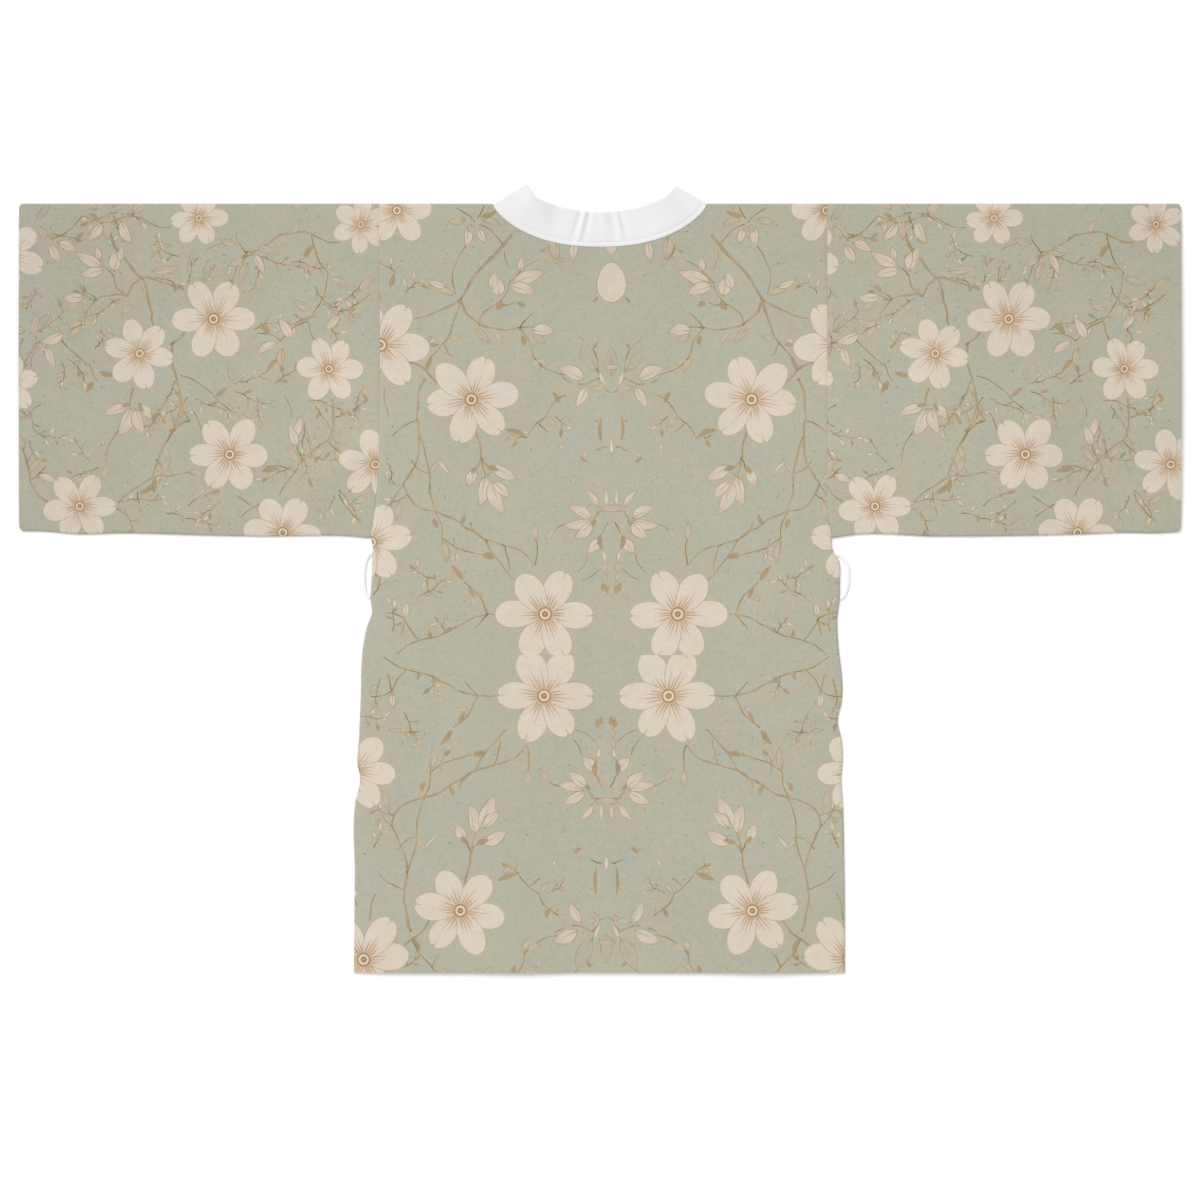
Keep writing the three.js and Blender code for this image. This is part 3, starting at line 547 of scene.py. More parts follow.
def vein_outline(radius, lean, draw):
    """A fine line out along a petal, thinning to its tip."""
    reach = radius * draw.uniform(*VEIN_LENGTH) * (1.12 - abs(lean))
    start = 0.15 * radius
    width = 0.8 + 0.018 * radius
    tip = (reach, reach * lean * 0.9)
    base = start * lean * 1.6
    u, v = (start + reach) / 2, (base + tip[1]) / 2 + draw.uniform(-0.012, 0.012) * radius
    below = [(start, base - width / 2), (u, v - width * 0.36)]
    above = [(u, v + width * 0.36), (start, base + width / 2)]
    return below + [tip] + above


def flower_shapes(flower, region, draw):
    """Petals, each with its edge and veins, round a ringed eye."""
    u, w, r = flower.u, flower.w, flower.radius
    shapes = []

    def add(points, ink, reach=r):
        shapes.append(Shape(placed(points, u, w, turn), ink, (u, w), reach, region))

    for k in draw.sample(range(PETALS), PETALS):
        turn = math.radians(flower.turn + 360 / PETALS * k + draw.uniform(-PETAL_SWAY, PETAL_SWAY))
        length = r * draw.uniform(*PETAL_LENGTH)
        half = r * draw.uniform(*PETAL_HALF)
        notch = draw.random() < 0.5
        outline = petal_outline(length, half, draw.uniform(*PETAL_WIDEST), draw.uniform(*PETAL_TIP), notch)
        add(outline, "petal_edge")
        add([(0.05 * r + (a - 0.05 * r) * 0.972, b * 0.94) for a, b in outline], "petal")
        if notch:
            add([(0.8 * length, 0.1), (0.9 * length, -0.6), (0.9 * length, 0.6)], "vein", 4 * r)
        for lean in VEIN_LEANS:
            add(vein_outline(r, lean, draw), "vein")
    for radius, ink in EYE_RINGS:
        shapes.append(disc(u, w, radius * r, 16, ink, region, r))
    return shapes


def twig_shapes(twig, region):
    """A tapering curved stroke, darker at its sides when it is thick."""
    du, dw = twig.to_u - twig.u, twig.to_w - twig.w
    length = math.hypot(du, dw)
    nu, nw = -dw / length, du / length
    count = max(3, round(length / 7))

    def outline(scale, ends):
        left, right = [], []
        for t in steps(count):
            t = lerp(ends, 1 - ends, t)
            bow = twig.bend * 4 * t * (1 - t) + 0.4 * twig.thick * math.sin(9 * t + twig.u)
            half = scale * twig.thick * (0.6 - 0.2 * t + 0.06 * math.sin(17 * t + twig.w))
            u, w = twig.u + du * t + nu * bow, twig.w + dw * t + nw * bow
            left.append((u + nu * half, w + nw * half))
            right.append((u - nu * half, w - nw * half))
        return left + right[::-1]

    shapes = [Shape(outline(1.0, 0), "twig", (twig.u, twig.w), length, region)]
    if twig.thick >= CORED_TWIG:
        shapes.append(Shape(outline(0.4, 0.04), "twig_core", (twig.u, twig.w), length, region))
    return shapes


def mirrored_outline(length, upper):
    """A pointed outline along +u, from the points of its upper side."""
    return [(0, 0)] + upper + [(length, 0)] + [(a, -b) for a, b in reversed(upper)]


def egg_outline(length, half, count=9):
    upper = []
    for i in range(1, count):
        a = math.sin(math.pi / 2 * i / count) ** 2
        upper.append((length * a, half * math.sin(math.pi * a) ** 0.5 * (1.13 - 0.3 * a)))
    return mirrored_outline(length, upper)


def leaf_outline(length, half, count=7):
    upper = []
    for i in range(1, count):
        a = i / count
        upper.append((length * a, half * math.sin(math.pi * a**0.85) ** 0.8))
    return mirrored_outline(length, upper)


def leaf_shapes(leaf, region):
    """A leaf inside its edge, swayed to one side, with a rib where it is wide. An egg is plain."""
    egg, wide, length = leaf.ink == "egg", leaf.width > WIDE_LEAF, leaf.length
    outline = (egg_outline if egg else leaf_outline)(length, leaf.width / 2)
    if not egg:
        sway = 0.09 * length * math.sin(leaf.u + 2 * leaf.w)
        outline = [(a, b + sway * math.sin(math.pi * a / length)) for a, b in outline]
    rim = BOLD_RIM if wide else FINE_RIM
    along, across = 1 - 2 * rim / length, 1 - 2 * rim / leaf.width
    middle_a, middle_b = length / 2, sum(b for _, b in outline) / len(outline)
    inner = [(middle_a + (a - middle_a) * along, middle_b + (b - middle_b) * across) for a, b in outline]
    parts = [(outline, "leaf_edge"), (inner, leaf.ink)]
    if wide and not egg:
        far = length * 0.55
        parts.append(([(0, -0.45), (far, -0.2), (length * 0.62, 0), (far, 0.2), (0, 0.45)], "leaf_edge"))
    turn, place = math.radians(leaf.turn), (leaf.u, leaf.w)
    return [Shape(placed(points, *place, turn), ink, place, length, region) for points, ink in parts]


def sprig_shapes(sprig, region):
    """A fine shoot that wanders, with small leaves to either side and one at its tip."""
    draw = random.Random(round(sprig.u * 31 + sprig.w * 17))
    u, w, turn = sprig.u, sprig.w, math.radians(sprig.turn)
    count = 2 + round(sprig.length / 12)
    hand = draw.choice((-1, 1))
    shapes = []

    def leaf(u, w, turn, length):
        ink = draw.choice(("cream", "cream", "pale", "tan", "line"))
        width = length * draw.uniform(0.32, 0.46)
        return leaf_shapes(Leaf(u, w, math.degrees(turn), length, width, ink), region)

    for k in range(count):
        turn += draw.uniform(-0.4, 0.4)
        reach = sprig.length / count
        to_u, to_w = u + reach * math.cos(turn), w + reach * math.sin(turn)
        shapes += twig_shapes(Twig(u, w, to_u, to_w, draw.uniform(-1, 1), 1.25 - 0.5 * k / count), region)
        u, w = to_u, to_w
        hand = -hand
        shoot = turn + hand * draw.uniform(0.5, 1.2)
        out = draw.uniform(1.5, 6)
        side_u, side_w = u + out * math.cos(shoot), w + out * math.sin(shoot)
        shapes += twig_shapes(Twig(u, w, side_u, side_w, 0.3, 0.8), region)
        shapes += leaf(side_u, side_w, shoot, draw.uniform(6, 11))
    return shapes + leaf(u, w, turn, draw.uniform(7, 12))


def fleck_shapes(count, width, height, flowers, region, draw):
    """Small loose marks, clear of the flowers."""
    shapes = []
    while len(shapes) < count:
        u, w = draw.uniform(4, width), draw.uniform(4, height)
        if any(math.hypot(u - f.u, w - f.w) < f.radius + 4 for f in flowers):
            continue
        length = draw.uniform(1.6, 4.6)
        turn = draw.uniform(0, math.tau)
        outline = leaf_outline(length, draw.uniform(0.5, 0.95), 4)
        ink = draw.choice(("fleck", "pale", "tan", "fleck"))
        shapes.append(Shape(placed(outline, u, w, turn), ink, (u, w), length, region))
    return shapes


def print_shapes(flowers, twigs, leaves, sprigs, flecks, spread, region, seed):
    """All shapes of one stretch of print, in the order in which they are printed."""
    draw = random.Random(seed)
    shapes = fleck_shapes(flecks, *spread, flowers, region, draw)
    for sprig in sprigs:
        shapes += sprig_shapes(sprig, region)
    for twig in twigs:
        shapes += twig_shapes(twig, region)
    for leaf in leaves:
        shapes += leaf_shapes(leaf, region)
    for flower in flowers:
        shapes += flower_shapes(flower, region, draw)
    return shapes


def moved(shapes, place):
    """Shapes carried from their local sizes to the cloth, by place(u, w)."""
    return [s._replace(points=[place(*p) for p in s.points], centre=place(*s.centre)) for s in shapes]


def quarter_shapes(quarter, seed):
    """The body's print in one quarter, mirrored from its two mirror lines."""
    stretch, flowers = (1.0, UPPER_FLOWERS) if quarter.up > 0 else (LOWER_STRETCH, LOWER_FLOWERS)
    twigs = [row._replace(u=row.u * stretch, to_u=row.to_u * stretch) for row in BODY_TWIGS]
    leaves = [row._replace(u=row.u * stretch) for row in BODY_LEAVES]
    sprigs = [row._replace(u=row.u * stretch) for row in BODY_SPRIGS]
    local = print_shapes(flowers, twigs, leaves, sprigs, BACK_FLECKS, BACK_SPREAD, quarter, seed)
    return moved(local, lambda u, w: (quarter.axis + quarter.hand * u, MIRROR_LEVEL + quarter.up * w))


def sleeve_shapes(start, way, seed):
    """A sleeve's print on one layer: along it from start, and round it from the shoulder fold."""
    rows = (SLEEVE_FLOWERS, SLEEVE_TWIGS, SLEEVE_LEAVES, SLEEVE_SPRIGS)
    local = print_shapes(*rows, SLEEVE_FLECKS, SLEEVE_SPREAD, Layer(way), seed)
    return moved(local, lambda u, w: (start + u, way * w))


# Panels


def inside(polygon, points):
    """Which points lie inside a polygon."""
    p = np.asarray(polygon, float)
    q = np.roll(p, -1, axis=0)
    x, y = points[:, 0:1], points[:, 1:2]
    crosses = (p[:, 1] > y) != (q[:, 1] > y)
    with np.errstate(divide="ignore", invalid="ignore"):
        at = p[:, 0] + (y - p[:, 1]) * (q[:, 0] - p[:, 0]) / (q[:, 1] - p[:, 1])
    return (crosses & (x < at)).sum(axis=1) % 2 == 1


def in_region(region, points):
    """Which points lie in the quarter or on the layer that a shape belongs to."""
    if isinstance(region, Layer):
        return points[:, 1] * region.way > 0
    across = (points[:, 0] - region.axis) * region.hand > 0
    return across & ((points[:, 1] - MIRROR_LEVEL) * region.up > 0)


def corner_inks(shape, corners):
    """Cream and tan amounts at the corners of the triangles that a shape covers."""
    cream, tan = INKS[shape.ink]
    distance = np.hypot(corners[..., 0] - shape.centre[0], corners[..., 1] - shape.centre[1]) / shape.reach
    inks = np.zeros(corners.shape[:2] + (2,))
    inks[..., 0] = cream
    inks[..., 1] = tan
    if shape.ink in ("twig", "leaf_edge"):
        fresh = 0.5 + 0.5 * np.sin(0.31 * corners[..., 0] + 0.7 * np.sin(0.19 * corners[..., 1]))
        inks[..., 0] += 0.4 * fresh
        inks[..., 1] *= 1 - 0.35 * fresh
    if shape.ink == "petal":
        inks[..., 1] += 0.4 * np.clip(1 - distance / 0.5, 0, 1) ** 1.7
    if shape.ink == "petal_edge":
        inks[..., 1] += 0.65 * np.clip(1 - distance / 0.72, 0, 1)
    if shape.ink == "vein":
        inks[..., 1] *= np.clip(1.3 - 1.5 * distance, 0.35, 1)
    if shape.ink in ("cream", "pale"):
        inks[..., 1] += 0.5 * np.clip(distance - 0.45, 0, 1) + 0.6 * np.clip(0.3 - distance, 0, 1)
    return inks


def grid_points(outline, spacing, draw):
    low, high = np.min(outline, axis=0), np.max(outline, axis=0)
    rows = []
    y, odd = low[1] + spacing / 2, 0
    while y < high[1]:
        x = low[0] + spacing * (0.5 + 0.5 * odd)
        while x < high[0]:
            rows.append([at + draw.uniform(-GRID_JITTER, GRID_JITTER) for at in (x, y)])
            x += spacing
        y += spacing * 0.87
        odd = 1 - odd
    points = np.array(rows)
    return points[inside(outline, points)]


def edge_rows(outline, distances):
    """Points inside an outline that goes anticlockwise, at some distances from it."""
    p = np.asarray(outline, float)
    ahead = np.roll(p, -1, axis=0) - np.roll(p, 1, axis=0)
    ahead /= np.linalg.norm(ahead, axis=1)[:, None]
    inward = np.stack([-ahead[:, 1], ahead[:, 0]], axis=1)
    rows = np.concatenate([p + inward * d for d in distances])
    return rows[inside(outline, rows)]


def used_only(verts, faces):
    """The vertices that faces use, and the faces renumbered to them."""
    used = np.unique(faces)
    renumber = np.full(len(verts), -1)
    renumber[used] = np.arange(len(used))
    return verts[used], renumber[faces]


def triangulate(points, loops, lines, outline):
    """A conforming triangulation of an outline's inside, divided along loops and lines."""
    coords = [Vector(p) for p in points]
    edges = []
    for run, open_ends in [(loop, 0) for loop in loops] + [(line, 1) for line in lines]:
        first, count = len(coords), len(run)
        coords += [Vector(p) for p in run]
        edges += [(first + i, first + (i + 1) % count) for i in range(count - open_ends)]
    all_triangles, merge_distance = 0, 1e-3
    made = delaunay_2d_cdt(coords, edges, [], all_triangles, merge_distance, False)
    verts = np.array([tuple(v) for v in made[0]])
    faces = np.array([tuple(f) for f in made[2]])
    return used_only(verts, faces[inside(outline, verts[faces].mean(axis=1))])


def boundary_loop(faces):
    """The boundary of a disc of triangles, as one ordered loop of vertices."""
    sides = np.concatenate([faces[:, [0, 1]], faces[:, [1, 2]], faces[:, [2, 0]]])
    have = {(int(a), int(b)) for a, b in sides}
    ahead = {a: b for a, b in have if (b, a) not in have}
    start = next(iter(ahead))
    loop, at = [start], ahead[start]
    while at != start:
        loop.append(at)
        at = ahead[at]
    return loop


def signed_volume(verts, faces):
    """Six times the volume inside triangles and quads, below 0 where they face in."""
    total = 0.0
    for size in (3, 4):
        some = np.array([f for f in faces if len(f) == size])
        if len(some):
            p = verts[some]
            for k in range(1, size - 1):
                total += np.einsum("ij,ij->i", p[:, 0], np.cross(p[:, k], p[:, k + 1])).sum()
    return total


def make_object(name, verts, faces, material, inks=None, sharp=40):
    """A smooth mesh with its faces turned out. inks holds values for the corners of its first faces."""
    verts = np.array([tuple(v) for v in verts])
    if signed_volume(verts, faces) < 0:
        faces = [f[::-1] for f in faces]
        inks = None if inks is None else inks[:, ::-1]
    mesh = bpy.data.meshes.new(name)
    mesh.from_pydata([tuple(v) for v in verts * MM], [], faces)
    if inks is not None:
        values = np.zeros((len(mesh.loops), 4), np.float32)
        values[:, 3] = 1
        values[: 3 * len(inks), :3] = inks.reshape(-1, 3)
        mesh.attributes.new("ink", "FLOAT_COLOR", "CORNER").data.foreach_set("color", values.ravel())
    mesh.polygons.foreach_set("use_smooth", [True] * len(mesh.polygons))
    mesh.set_sharp_from_angle(angle=math.radians(sharp))
    mesh.materials.append(material)
    mesh.validate()
    obj = bpy.data.objects.new(name, mesh)
    bpy.context.scene.collection.objects.link(obj)
    return obj


def shapes_near(shapes, outline):
    """The shapes that reach into an outline's box."""
    low, high = np.min(outline, axis=0) - 2, np.max(outline, axis=0) + 2
    near = []
    for shape in shapes:
        p = np.asarray(shape.points)
        if (p.max(axis=0) > low).all() and (p.min(axis=0) < high).all():
            near.append(shape)
    return near


def uppermost(shapes, points):
    """The number of the shape printed last over each point, or -1."""
    covered = np.full(len(points), -1)
    order = np.argsort(points[:, 0])
    sorted_x = points[order, 0]
    for number, shape in enumerate(shapes):
        p = np.asarray(shape.points)
        first, last = np.searchsorted(sorted_x, [p[:, 0].min(), p[:, 0].max()])
        near = order[first:last]
        near = near[(points[near, 1] > p[:, 1].min()) & (points[near, 1] < p[:, 1].max())]
        if len(near):
            hit = inside(p, points[near]) & in_region(shape.region, points[near])
            covered[near[hit]] = number
    return covered


def face_inks(shapes, verts, faces):
    """Cream and tan amounts at the corners of each triangle."""
    covered = uppermost(shapes, verts[faces].mean(axis=1))
    inks = np.zeros((len(faces), 3, 2))
    by_shape = np.argsort(covered, kind="stable")
    starts = np.searchsorted(covered[by_shape], np.arange(len(shapes) + 1))
    for number, shape in enumerate(shapes):
        mine = by_shape[starts[number] : starts[number + 1]]
        if len(mine):
            inks[mine] = corner_inks(shape, verts[faces[mine]])
    return inks


def printed_panel(name, outline, shapes, lines, surface, material, rows=EDGE_ROWS):
    """A closed shell over an outline, printed on its outer face.

    surface(points) gives the places of plan points on the outer and on the inner face.
    """
    draw = random.Random(len(outline))
    shown = shapes_near(shapes, outline)
    free = np.concatenate([grid_points(outline, PRINT_SPACING, draw), edge_rows(outline, rows)])
    plan, faces = triangulate(free, [outline] + [shape.points for shape in shown], lines, outline)
    loop = boundary_loop(faces)
    rim = plan[loop]
    free = np.concatenate([grid_points(outline, 2 * PRINT_SPACING, draw), edge_rows(outline, rows[-2:])])
    inner_plan, inner_faces = triangulate(free, [rim], [], rim)
    inner_loop = boundary_loop(inner_faces)
    shift = int(np.argmin(np.linalg.norm(inner_plan[inner_loop] - rim[0], axis=1)))
    inner_loop = inner_loop[shift:] + inner_loop[:shift]
    if len(inner_loop) != len(loop):
        raise ValueError(f"{name}: its two faces have different edges, {len(loop)} and {len(inner_loop)}")

    outer, inner = surface(plan)[0], surface(inner_plan)[1]
    count = len(outer)
    shell = faces.tolist() + [(count + c, count + b, count + a) for a, b, c in inner_faces.tolist()]
    for i, j in zip(range(len(loop)), [*range(1, len(loop)), 0]):
        shell.append((loop[j], loop[i], count + inner_loop[i], count + inner_loop[j]))
    # The third channel carries the painted shade on the ground, and its darkening towards the hem
    inks = np.concatenate([face_inks(shown, plan, faces), painted_shade_and_hem_tone(outer)[faces][..., None]], axis=2)
    return make_object(name, np.concatenate([outer, inner]), shell, material, inks)


def painted_shade_and_hem_tone(points):
    """How much darker the ground is: painted shade along the shoulders and out along the sleeves, and
    darker towards the hem.
    """
    drop = SHOULDER_Y - points[:, 1]
    out = np.clip((np.abs(points[:, 0]) - SLEEVE_SHADE[1]) / SLEEVE_SHADE[2], 0, 1)
    low = np.clip((drop - HEM_TONE[1]) / HEM_TONE[2], 0, 1)
    shoulder = SHOULDER_SHADE[0] * bell(drop, SHOULDER_SHADE[1])
    return shoulder + SLEEVE_SHADE[0] * smooth(out) + HEM_TONE[0] * low


def stack(*columns):
    return np.stack(np.broadcast_arrays(*columns), axis=1)


def divided_line(a, b, step=6.0):
    count = max(1, round(math.dist(a, b) / step))
    return [(lerp(a[0], b[0], s), lerp(a[1], b[1], s)) for s in steps(count)]


def between(from_x, to_x, y, count):
    """Points along a level line, without its ends."""
    return [(lerp(from_x, to_x, s), y) for s in steps(count)[1:-1]]


def anticlockwise(outline):
    area = sum(a[0] * b[1] - a[1] * b[0] for a, b in zip(outline, outline[1:] + outline[:1]))
    return outline[::-1] if area < 0 else outline


def side_points(side, drops, inset):
    xs = body_edge(side, drops) - hand_of(side) * inset
    return list(zip(xs.tolist(), (SHOULDER_Y - drops).tolist()))


def hem_dip(distance):
    return HEM_DIP[0] * bell(distance - HEM_DEPTH + HEM_STITCH_IN, HEM_DIP[1])


def cloth_wall(distance):
    """Thickness of printed cloth, more where a hem is turned in."""
    return lerp(CLOTH, HEM_CLOTH, np.clip(0.5 + (HEM_DEPTH - distance) / HEM_FADE, 0, 1))


def back_surface(points):
    """The back's two faces: dipped along armhole seams and hem, and rolled down at its sides and neck."""
    x, y = points[:, 0], points[:, 1]
    drop, to_hem = SHOULDER_Y - y, y - SHOULDER_Y + BODY_LENGTH
    above = drop < UNDERARM_DROP
    to_side = edge_of_x(x, drop) - np.abs(x) - SEAM_GAP / 2
    to_top = to_shoulder(x, drop)
    z = upper_face(x, y) - hem_dip(to_hem)
    z = z - np.where(above, seam_dip(to_side), 0)
    nearest = np.where(above, to_top, np.minimum(to_side, to_top))
    share = np.clip(nearest / TURN, 0, 1)
    z = z - (z - TURN) * (1 - np.sqrt(1 - (1 - share) ** 2))
    return stack(x, y, z), stack(x, y, np.maximum(z - cloth_wall(to_hem), CLOTH + LAYER_CLEARANCE))


def back_panel(material):
    shapes = [s for quarter in BACK_QUARTERS for s in quarter_shapes(quarter, SEEDS["body"])]
    drops = np.array([BODY_LENGTH * s for s in steps(170)])
    left = side_points("left", drops, SEAM_SHOWN)
    right = side_points("right", drops[::-1], SEAM_SHOWN)
    neck_xs = [NECK_HALF * math.cos(math.pi * s) for s in steps(60)]
    neckline = [(x, SHOULDER_Y - float(neckline_drop(x))) for x in neck_xs]
    hem = divided_line(left[-1], right[0], 5)
    shoulder_right = between(right[-1][0], NECK_HALF, SHOULDER_Y, 26)
    shoulder_left = between(-NECK_HALF, left[0][0], SHOULDER_Y, 24)
    outline = left + hem[1:-1] + right + shoulder_right + neckline + shoulder_left
    lines = [
        divided_line((-LEVEL_REACH, MIRROR_LEVEL), (LEVEL_REACH, MIRROR_LEVEL)),
        divided_line((UPPER_AXIS, MIRROR_LEVEL), (UPPER_AXIS, BACK_MIRROR_TOP)),
        divided_line((LOWER_AXIS, MIRROR_BOTTOM), (LOWER_AXIS, MIRROR_LEVEL)),
    ]
    return printed_panel("back_cloth", outline, shapes, lines, back_surface, material)


def front_surface(points):
    """A front's two faces: its printed face flat on the floor."""
    x, y = points[:, 0], points[:, 1]
    return stack(x, y, 0.0), stack(x, y, cloth_wall(y - SHOULDER_Y + BODY_LENGTH))


def front_panel(side, material):
    hand = hand_of(side)
    drops = np.array([BODY_LENGTH * s for s in steps(140)])
    outside = side_points(side, drops, SEAM_GAP / 2)
    sewn = [(hand * (float(front_edge_x(d)) + SEAM_GAP / 2), SHOULDER_Y - d) for d in drops[::-1]]
    hem = between(outside[-1][0], sewn[0][0], outside[-1][1], 40)
    shoulder = between(sewn[-1][0], outside[0][0], SHOULDER_Y, 22)
    outline = anticlockwise(outside + hem + sewn + shoulder)
    axis = hand * FRONT_AXIS
    quarters = [Quarter(axis, way, up) for way in (-1, 1) for up in (1, -1)]
    shapes = [s for quarter in quarters for s in quarter_shapes(quarter, SEEDS["front"])]
    left, right = sorted(hand * x for x in FRONT_LEVEL)
    lines = [
        divided_line((axis, MIRROR_BOTTOM), (axis, FRONT_MIRROR_TOP)),
        divided_line((left, MIRROR_LEVEL), (right, MIRROR_LEVEL)),
    ]
    return printed_panel(f"front_cloth_{side}", outline, shapes, lines, front_surface, material, FLAT_ROWS)


def sleeve_half_round(side, x):
    """Length of cloth from the shoulder fold to the underarm seam, round the turned edges."""
    return sleeve_depth(side, x) + TURNS_TAKE - SEAM_GAP / 2


def sleeve_surface(side):
    """A sleeve's two faces, over points that run along it (x) and round it from the shoulder fold (s)."""

    def surface(points):
        x, s = points[:, 0], points[:, 1]
        depth = sleeve_depth(side, x)
        run = np.abs(s)
        a = np.clip(run / TURN, 0, math.pi / 2)
        b = np.clip((depth + TURNS_TAKE - run) / TURN, 0, math.pi / 2)
        level = SHOULDER_Y - TURN - (run - TURN * math.pi / 2)
        drop = np.clip(SHOULDER_Y - level, 0, UNDERARM_DROP)
        lifted = upper_face(x, np.clip(level, SHOULDER_Y - depth + TURN, SHOULDER_Y - TURN)) - 2 * TURN
        to_seam = np.abs(x) - edge_of_x(x, drop) - SEAM_GAP / 2
        to_cuff = CUFF_X - np.abs(x)
        dips = seam_dip(to_seam) + hem_dip(to_cuff)
        faces = []
        for inset in (0.0, cloth_wall(to_cuff)):
            radius = TURN - inset
            y = np.where(a < math.pi / 2, SHOULDER_Y - TURN + radius * np.cos(a), level)
            y = np.where(b < math.pi / 2, SHOULDER_Y - depth + TURN - radius * np.cos(b), y)
            swell = np.sin(a) * np.sin(b)
            rise = TURN + radius * swell + swell * (lifted - dips)
            faces.append(stack(x, y, np.where(s > 0, rise, TURN - radius * swell)))
        return faces

    return surface


def cuff_x(side, run, full):
    """The cuff's end at a length round the sleeve, rounded off at the two folds."""
    into = max(0.0, CUFF_CORNER - min(run, full - run))
    return hand_of(side) * (CUFF_X - CUFF_CORNER + math.sqrt(CUFF_CORNER**2 - into**2))


def sleeve_outline(side):
    """A sleeve's whole cut, unrolled: armhole seam, underarm seam, cuff and underarm seam again."""
    hand, armhole = hand_of(side), armhole_x(side)
    full, start = (float(sleeve_half_round(side, x)) for x in (CUFF_X, armhole))
    runs = [full * (0.5 - 0.5 * math.cos(math.pi * s)) for s in steps(70)]
    cuff = [(cuff_x(side, run, full), run) for run in runs]
    cuff = [(x, -run) for x, run in reversed(cuff[1:])] + cuff
    seam = []
    for s in np.linspace(-start, start, 148):
        drop = min(abs(s), UNDERARM_DROP)
        seam.append((hand * (abs(float(body_edge(side, drop))) + SEAM_SHOWN), float(s)))
    lower_xs = [hand * lerp(armhole + SEAM_GAP / 2, abs(cuff[-1][0]), s) for s in steps(76)[1:-1]]
    hem = [(x, float(sleeve_half_round(side, x))) for x in lower_xs]
    return anticlockwise(seam + hem + cuff[::-1] + [(x, -s) for x, s in reversed(hem)])


def sleeve_panel(side, material):
    hand, start = hand_of(side), SLEEVE_START[side]
    upper = sleeve_shapes(start, 1, SEEDS["upper"])
    under = sleeve_shapes(start - UNDER_SHIFT * hand, -1, SEEDS["under"])
    left, right = sorted((hand * (armhole_x(side) - FOLD_PAST[0]), hand * (CUFF_X + FOLD_PAST[1])))
    fold = divided_line((left, 0), (right, 0))
    outline, surface = sleeve_outline(side), sleeve_surface(side)
    return printed_panel(f"sleeve_cloth_{side}", outline, upper + under, [fold], surface, material)


# Neckband


def free_edge(sewn_x):
    """The band's free edge across the back: its plan point and the height of its underside."""
    side = "left" if sewn_x < 0 else "right"
    hand = hand_of(side)
    slope = min(max((abs(sewn_x) - KINK_SEWN) / (NECK_HALF - KINK_SEWN), 0), 1)
    x = min(abs(sewn_x) * KINK_FREE / KINK_SEWN, KINK_FREE)
    y = SHOULDER_Y - FREE_EDGE_DROP + (KINK_ABOVE + FREE_EDGE_DROP) * (x / KINK_FREE) ** 2
    tip = TIPS[side]
    point = (lerp(hand * x, tip[0], slope), lerp(y, tip[1], slope))
    ridge = RIDGE_LOW + RIDGE_HIGH * float(bell(x - KINK_FREE, RIDGE_REACH))
    return point, lerp(ridge, BAND_WALL + FOLD_GAP, smooth(slope))


# height(w) is the band's middle, from w = 0 at its sewn edge to 1 at its free edge
Section = namedtuple("Section", "sewn free height normal")


def front_sections(side):
    hand = hand_of(side)
    neck = Vector((hand * NECK_HALF, SHOULDER_Y))
    fold_way = Vector(TIPS[side]) - neck
    drops = [lerp(BODY_LENGTH, FRONT_CURVE_DROP, s) for s in steps(40)]
    drops += [lerp(FRONT_CURVE_DROP, 0, s) for s in steps(56)][1:-1]
    sections = []
    for drop in drops:
        sewn = Vector((hand * float(front_edge_x(drop)), SHOULDER_Y - drop))
        slant = float(front_edge_x(drop - 1) - front_edge_x(drop + 1)) / 2
        across = Vector((-hand, slant)).normalized() * BAND_WIDTH
        across = across.lerp(fold_way, float(bell(drop, BAND_WIDTH)))
        sections.append(Section(sewn, sewn + across, lambda w: BAND_WALL / 2, Vector((0, 0, -1))))
    return sections


def fold_sections(side):
    """The half turn at a neck point, where the band folds over from a front to the back."""
    hand = hand_of(side)
    neck, tip = Vector((hand * NECK_HALF, SHOULDER_Y)), Vector(TIPS[side])
    crease = (tip - neck).normalized()
    out = Vector((hand * abs(crease.y), abs(crease.x)))
    middle = (BAND_WALL + FOLD_GAP) / 2
    sections = []
    for s in steps(10):
        angle = math.pi * (s - 0.5)
        shift = out * (middle * math.cos(angle) - middle - BAND_WALL / 2)
        z = middle + BAND_WALL / 2 + middle * math.sin(angle)
        normal = Vector((out.x * math.cos(angle), out.y * math.cos(angle), math.sin(angle)))
        sections.append(Section(neck + shift, tip + shift, lambda w, z=z: z, normal))
    return sections


def back_sections():
    xs = [lerp(-NECK_HALF, -KINK_SEWN, s) for s in steps(12)[1:]]
    xs += [lerp(-KINK_SEWN, KINK_SEWN, s) for s in steps(150)[1:]]
    xs += [lerp(KINK_SEWN, NECK_HALF, s) for s in steps(12)[1:-1]]
    sections = []
    for x in xs:
        sewn = (x, SHOULDER_Y - float(neckline_drop(x)))
        free, free_z = free_edge(x)
        sewn_z = float(upper_face(np.array([sewn[0]]), np.array([sewn[1]]))[0]) - WALL

        def height(w, x=x, sewn_z=sewn_z, free_z=free_z):
            ripple = 0.0
            for row in RIPPLES:
                centre = lerp(row.sewn, row.free * KINK_SEWN / KINK_FREE, w)
                ripple += row.rise * float(bell(x - centre, row.width))
            return lerp(sewn_z, free_z, w) + ripple * min(1, 2 * w) + BAND_WALL / 2

        sections.append(Section(Vector(sewn), Vector(free), height, Vector((0, 0, 1))))
    return sections


